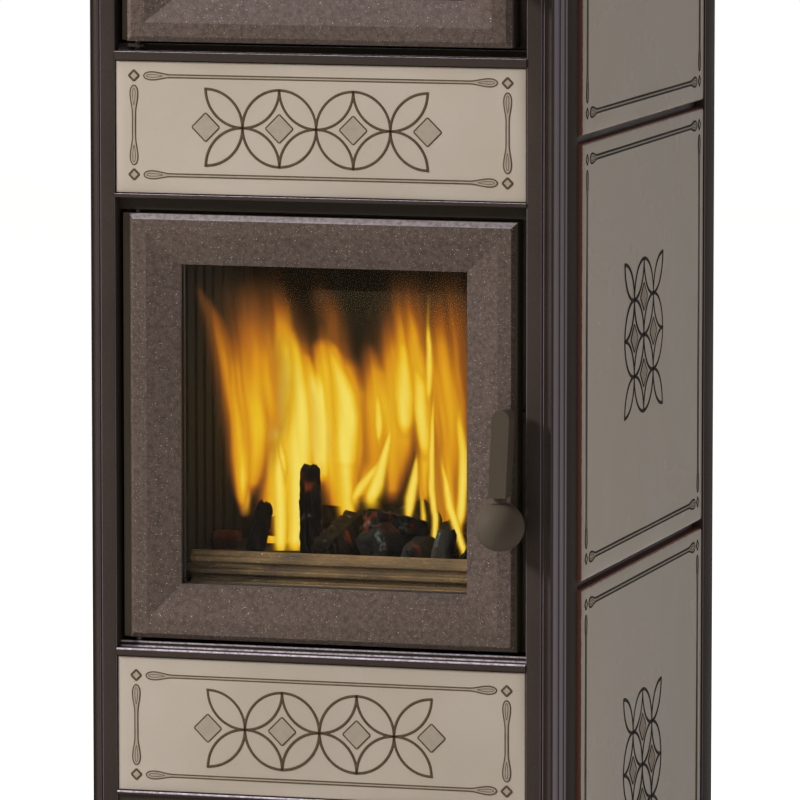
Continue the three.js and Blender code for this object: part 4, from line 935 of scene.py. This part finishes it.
# Each sheet of flame: its depth, and its tongues, each a run of (x, z, half width, strength in per cent)
FLAME_SHEETS = [
    ("left", 118, [
        [(-98, 548, 6.5, 50), (-97, 561, 9.9, 60), (-96, 583, 13.3, 66), (-97, 604, 16, 68), (-98, 626, 16.3, 64),
         (-101, 652, 16, 54), (-107, 677, 15.2, 40), (-114, 699, 13.3, 24), (-121, 717, 9.5, 10)],
        [(-107, 530, 3, 50), (-108, 542, 5.7, 62), (-108, 560, 9.1, 70), (-110, 582, 11, 70), (-113, 608, 12.5, 68),
         (-116, 633, 14.1, 64), (-121, 659, 15.2, 56), (-128, 684, 14.1, 42), (-137, 709, 11.4, 30),
         (-149, 729, 7.6, 20), (-161, 745, 3.8, 10)],
        [(-85, 601, 11.4, 40), (-89, 627, 17.1, 55), (-92, 648, 20.9, 56), (-96, 670, 22.8, 50),
         (-102, 692, 22.8, 36), (-109, 714, 20.9, 22), (-117, 735, 17.1, 12), (-123, 748, 11.4, 5)],
        [(-108, 533, 1.9, 50), (-108, 555, 3.4, 80), (-110, 578, 3, 80), (-113, 600, 2.7, 70), (-116, 620, 2.3, 50),
         (-120, 640, 1.9, 30)],
    ]),
    ("back", 265, [
        [(-77, 538, 9.5, 80), (-78, 557, 11, 86), (-80, 579, 11.4, 86), (-81, 603, 10.6, 78), (-80, 626, 9.1, 66),
         (-81, 642, 6.8, 50)],
        [(-89, 566, 11.4, 80), (-87, 592, 11.4, 84), (-87, 618, 9.5, 74), (-89, 640, 7.6, 60), (-93, 662, 5.7, 40)],
        [(-152, 513, 4.8, 70), (-153, 536, 9.5, 72), (-154, 564, 11.4, 72), (-157, 591, 14.3, 70),
         (-161, 619, 16.2, 66), (-165, 645, 17.1, 58), (-171, 671, 15.2, 45), (-182, 697, 12.4, 32),
         (-196, 715, 8.6, 20), (-207, 730, 3.8, 8)],
        [(-116, 470, 13.3, 80), (-116, 509, 15.2, 80), (-113, 546, 18.1, 85), (-109, 574, 24.7, 85),
         (-110, 602, 28.5, 82), (-118, 630, 32.3, 76), (-126, 658, 34.2, 66), (-132, 680, 32.3, 50),
         (-137, 704, 32.3, 30), (-143, 726, 30.4, 16), (-145, 739, 22.8, 6)],
        [(-105, 621, 17.1, 80), (-107, 649, 16.2, 76), (-110, 673, 13.3, 62), (-115, 695, 11.4, 42),
         (-118, 714, 9.5, 25), (-120, 732, 9.5, 10)],
        [(-53, 474, 8.6, 75), (-55, 511, 11.4, 78), (-58, 539, 17.1, 85), (-60, 567, 22.8, 88), (-60, 594, 24.7, 88),
         (-60, 622, 24.7, 84), (-66, 648, 20.9, 72), (-72, 668, 13.3, 50), (-74, 678, 6.7, 30)],
        [(-56, 656, 9.5, 30), (-62, 678, 11.4, 28), (-68, 700, 12.4, 24), (-74, 719, 11.4, 16), (-78, 730, 7.6, 5)],
        [(-35, 525, 7.6, 70), (-30, 540, 11.4, 62), (-26, 558, 15.2, 50), (-24, 586, 17.1, 55), (-22, 614, 17.1, 60),
         (-22, 642, 15.2, 50), (-26, 661, 11.4, 30), (-30, 675, 5.7, 10)],
        [(-6, 526, 8.6, 50), (-3, 550, 13.3, 60), (1, 578, 17.1, 66), (3, 606, 20.9, 72), (5, 634, 22.8, 74),
         (7, 662, 22.8, 68), (9, 684, 21.9, 55), (11, 706, 20.9, 38), (13, 726, 20.9, 20), (14, 741, 17.1, 8)],
        [(53, 496, 13.3, 60), (53, 533, 17.1, 62), (53, 570, 19, 64), (51, 607, 20, 68), (51, 644, 20.9, 62),
         (51, 672, 20.9, 50), (53, 700, 20.9, 34), (53, 722, 20.9, 20), (53, 741, 17.1, 8)],
        [(28, 523, 5.7, 60), (28, 560, 8.6, 70), (28, 597, 9.5, 75), (26, 634, 10.5, 72), (24, 662, 9.5, 55),
         (24, 690, 7.6, 30), (24, 708, 5.7, 10)],
    ]),
    ("middle", 200, [
        [(-85, 481, 8.6, 98), (-87, 518, 8.6, 100), (-85, 551, 11.4, 100), (-85, 577, 13.3, 100),
         (-83, 601, 11.4, 95), (-81, 629, 9.5, 85), (-83, 651, 7.6, 70), (-87, 675, 5.7, 45), (-91, 693, 3.8, 20)],
        [(-37, 560, 9.5, 92), (-37, 584, 11.4, 95), (-34, 608, 11.4, 100), (-35, 630, 9.5, 95), (-39, 649, 6.7, 80),
         (-45, 667, 4.8, 50), (-48, 678, 2.9, 20)],
        [(-110, 582, 5.7, 70), (-108, 591, 7.6, 80), (-104, 610, 9.5, 85), (-100, 628, 9.5, 82), (-96, 654, 7.6, 70),
         (-96, 674, 5.7, 50), (-97, 687, 3.8, 20)],
        [(27, 599, 5.7, 70), (27, 610, 7.6, 85), (27, 632, 8.6, 90), (27, 658, 7.6, 75), (26, 678, 5.7, 50),
         (24, 691, 3.8, 20)],
        [(47, 578, 3.8, 70), (46, 596, 5.3, 85), (44, 618, 6.1, 90), (43, 642, 5.7, 80), (40, 658, 3.8, 40)],
        [(-30, 483, 4.8, 85), (-32, 505, 5.7, 80), (-34, 523, 7.6, 80), (-36, 542, 7.6, 85), (-37, 560, 8.6, 80)],
        [(81, 509, 3, 90), (82, 524, 4.2, 95), (84, 552, 4.8, 90), (84, 579, 4.2, 80), (82, 606, 3.8, 60)],
        [(-101, 478, 4.8, 95), (-102, 508, 4.8, 90), (-102, 536, 4.8, 90), (-103, 558, 4.2, 85),
         (-105, 573, 2.9, 50)],
        [(-133, 520, 3.4, 75), (-134, 544, 4.9, 78), (-137, 572, 4.2, 70), (-140, 590, 3.4, 50)],
    ]),
    ("front", 135, [
        [(15, 539, 5.3, 95), (20, 553, 4.8, 100), (26, 576, 3.8, 100), (30, 592, 2.5, 90), (33, 607, 1.5, 40)],
        [(-1, 540, 4.2, 80), (7, 553, 4.9, 85), (16, 566, 3.4, 70), (22, 577, 1.5, 30)],
        [(47, 523, 2.9, 85), (50, 542, 4.2, 95), (54, 560, 3.4, 95), (56, 575, 1.9, 70), (57, 584, 1, 20)],
        [(70, 499, 1.5, 80), (72, 522, 2.1, 90), (70, 550, 2.5, 90), (71, 577, 2.3, 85), (73, 604, 1.7, 80),
         (73, 626, 1.3, 60), (73, 641, 1, 20)],
        [(98, 489, 2.7, 98), (91, 510, 3.2, 100), (86, 532, 3, 100), (84, 554, 2.3, 90), (81, 572, 1.5, 50),
         (80, 586, 1, 10)],
        [(68, 641, 2.3, 70), (68, 668, 2.7, 85), (68, 692, 2.1, 70), (68, 708, 1.5, 30)],
        [(-106, 588, 2.7, 60), (-107, 602, 3.4, 85), (-108, 620, 3.4, 90), (-110, 642, 2.9, 80),
         (-111, 657, 1.9, 40)],
        [(22, 597, 2.3, 60), (22, 612, 3.4, 85), (21, 630, 2.7, 70), (19, 643, 1.5, 30)],
        [(-77, 559, 1.9, 50), (-81, 576, 2.7, 90), (-84, 588, 1.7, 50)],
        [(62, 506, 1.3, 60), (62, 524, 1.7, 75), (61, 540, 1.3, 50), (60, 553, 0.8, 20)],
    ]),
]
STREAKS = {"left": 0.3, "back": 0.3, "middle": 0.24, "front": 0.15}
LEAST_HEAT = {"left": 0.0, "back": 0.0, "middle": 0.5, "front": 0.62}


def flame_sheet(name, depth, tongues, seed):
    """A wavy sheet of flame whose points carry their heat and how much they cover."""
    xs = np.arange(-FLAME_HALF, FLAME_HALF + 0.01, FLAME_CELL)
    gx, gz = np.meshgrid(xs, np.arange(*FLAME_Z, FLAME_CELL), indexing="ij")
    drift = 5.0 * (value_noise(gx / 46 + 9, gz / 60, seed) - 0.5)
    drift += 2.2 * (value_noise(gx / 15, gz / 34, seed + 1) - 0.5)
    heat = np.zeros_like(gx)
    for tongue in tongues:
        line = np.array(tongue)
        line = line[np.argsort(line[:, 1])]
        spine = np.interp(gz, line[:, 1], line[:, 0])
        wide = np.interp(gz, line[:, 1], line[:, 2])
        strong = np.interp(gz, line[:, 1], line[:, 3] / 100)
        foot = np.clip((gz - line[0, 1] + 12) / 18, 0, 1)
        head = np.clip((line[-1, 1] + 34 - gz) / 38, 0, 1)
        across = (gx + drift - spine) / wide
        body = np.exp(-np.abs(across) ** 2.2 * 0.75) * strong * foot * head
        heat = np.maximum(heat, body) + 0.16 * np.minimum(heat, body)
    lean = gx + 0.1 * (gz - 480) + drift
    streak = 0.6 * value_noise(lean / 7.5, gz / 85, seed + 2) + 0.4 * value_noise(lean / 3.2, gz / 60, seed + 3)
    share = STREAKS[name]
    heat = np.clip(heat * (1 - share + 2 * share * streak), 0, 1)
    fade = np.clip((FLAME_HALF - np.abs(gx)) / 10, 0, 1) * np.clip((FLAME_Z[1] - gz) / 12, 0, 1)
    cover = np.clip(heat * 1.9 - 0.02, 0, 1) ** 1.15 * fade
    heat = LEAST_HEAT[name] + (1 - LEAST_HEAT[name]) * heat
    y = depth + 9 * np.sin(gx / 31 + seed) + 5 * np.sin(gz / 43 + 2 * seed)
    shown = cover > 0.004
    keep = shown.copy()
    keep[:-1] |= shown[1:]
    keep[1:] |= shown[:-1]
    keep[:, :-1] |= shown[:, 1:]
    keep[:, 1:] |= shown[:, :-1]
    i, j = np.nonzero(keep[:-1, :-1] & keep[1:, :-1] & keep[1:, 1:] & keep[:-1, 1:])
    corners = ((i, j), (i + 1, j), (i + 1, j + 1), (i, j + 1))
    used = np.zeros_like(keep)
    for corner in corners:
        used[corner] = True
    index = np.zeros(gx.shape, int)
    index[used] = np.arange(used.sum())
    faces = np.column_stack([index[corner] for corner in corners])
    points = np.column_stack([gx[used], y[used], gz[used]])
    made = shape(f"flames_{name}", points, faces, FLAME, 180.0)
    carry(made, "fire_heat", heat[used])
    carry(made, "fire_cover", cover[used])
    made.visible_shadow = False
    settle(made, "root", "fire_glass")


def make_fire():
    make_ribbed_bricks()
    make_logs()
    for seed, (name, depth, tongues) in enumerate(FLAME_SHEETS):
        flame_sheet(name, depth, tongues, 40 + 7 * seed)


# ------------------------------------------------------------------ floor, light and camera


def seen_share(tree):
    """1 for rays that show the backdrop, seen straight or in metal and glass, and 0 for rays that light the object."""
    path = node(tree, "ShaderNodeLightPath").outputs
    share = maths(tree, "MAXIMUM", path["Is Camera Ray"], path["Is Glossy Ray"])
    return maths(tree, "MAXIMUM", share, path["Is Transmission Ray"])


def make_stage():
    mesh = bpy.data.meshes.new("floor")
    reach = 9.0
    corners = [(-reach, -reach, 0), (reach, -reach, 0), (reach, reach, 0), (-reach, reach, 0)]
    mesh.from_pydata(corners, [], [(0, 1, 2, 3)])
    floor = bpy.data.objects.new("floor", mesh)
    bpy.context.scene.collection.objects.link(floor)
    made, tree = new_material("pale_floor")
    matt = node(tree, "ShaderNodeBsdfDiffuse", {"Color": (0.8, 0.8, 0.79, 1)})
    lift = node(tree, "ShaderNodeEmission", {
        "Color": (1, 1, 1, 1), "Strength": times(tree, seen_share(tree), 0.84)})
    both = node(tree, "ShaderNodeAddShader")
    tree.links.new(matt.outputs[0], both.inputs[0])
    tree.links.new(lift.outputs[0], both.inputs[1])
    finish_with(tree, both.outputs[0])
    mesh.materials.append(made)

    world = bpy.data.worlds.new("studio")
    world.use_nodes = True
    tree = world.node_tree
    tree.nodes.clear()
    soft = node(tree, "ShaderNodeBackground", {"Color": (1.0, 0.95, 0.88, 1), "Strength": 0.2})
    white = node(tree, "ShaderNodeBackground", {"Color": (1, 1, 1, 1), "Strength": 1.0})
    both = node(tree, "ShaderNodeMixShader", {0: seen_share(tree), 1: soft.outputs[0], 2: white.outputs[0]})
    out = node(tree, "ShaderNodeOutputWorld")
    tree.links.new(both.outputs[0], out.inputs["Surface"])
    bpy.context.scene.world = world


def lamp(name, place_m, aim_m, size, power, colour, height=None):
    data = bpy.data.lights.new(name, "AREA")
    data.energy = power
    data.color = colour
    data.size = size
    if height:
        data.shape = "RECTANGLE"
        data.size_y = height
    made = bpy.data.objects.new(name, data)
    made.location = place_m
    made.rotation_euler = (Vector(aim_m) - Vector(place_m)).to_track_quat("-Z", "Y").to_euler()
    bpy.context.scene.collection.objects.link(made)


def make_light():
    lamp("key", (-3.05, -1.95, 2.45), (0, -0.2, 0.7), 0.7, 164, (1.0, 0.985, 0.96))
    lamp("overhead", (-0.75, -0.85, 3.3), (0, -0.25, 0.8), 1.3, 26, (0.95, 0.94, 1.0), 0.5)
    lamp("right_strip", (3.1, -1.15, 0.9), (0.2, -0.2, 0.8), 0.22, 8.4, (1.0, 0.97, 0.94), 2.2)
    lamp("firelight", (0, 0.03, 0.74), (0, -0.14, 0.48), 0.2, 0.3, (1.0, 0.82, 0.5))


def make_camera():
    azimuth, elevation, distance = math.radians(16.0), math.radians(6.54), 7.15908
    target = Vector((0.07861, -CENTRE_Y * MM, 0.65117))
    back = Vector((math.sin(azimuth) * math.cos(elevation), -math.cos(azimuth) * math.cos(elevation),
                   math.sin(elevation)))
    data = bpy.data.cameras.new("camera")
    data.sensor_width = 36.0
    data.lens = 345.09
    data.clip_end = 100.0
    camera = bpy.data.objects.new("camera", data)
    camera.location = target + back * distance
    camera.rotation_euler = (-back).to_track_quat("-Z", "Y").to_euler()
    bpy.context.scene.collection.objects.link(camera)
    bpy.context.scene.camera = camera


make_camera()
make_posts()
make_tiles()
make_metalwork()
make_balls()
make_fire()
make_stage()
make_light()
bpy.context.scene.view_settings.view_transform = "Standard"

bpy.context.view_layer.update()
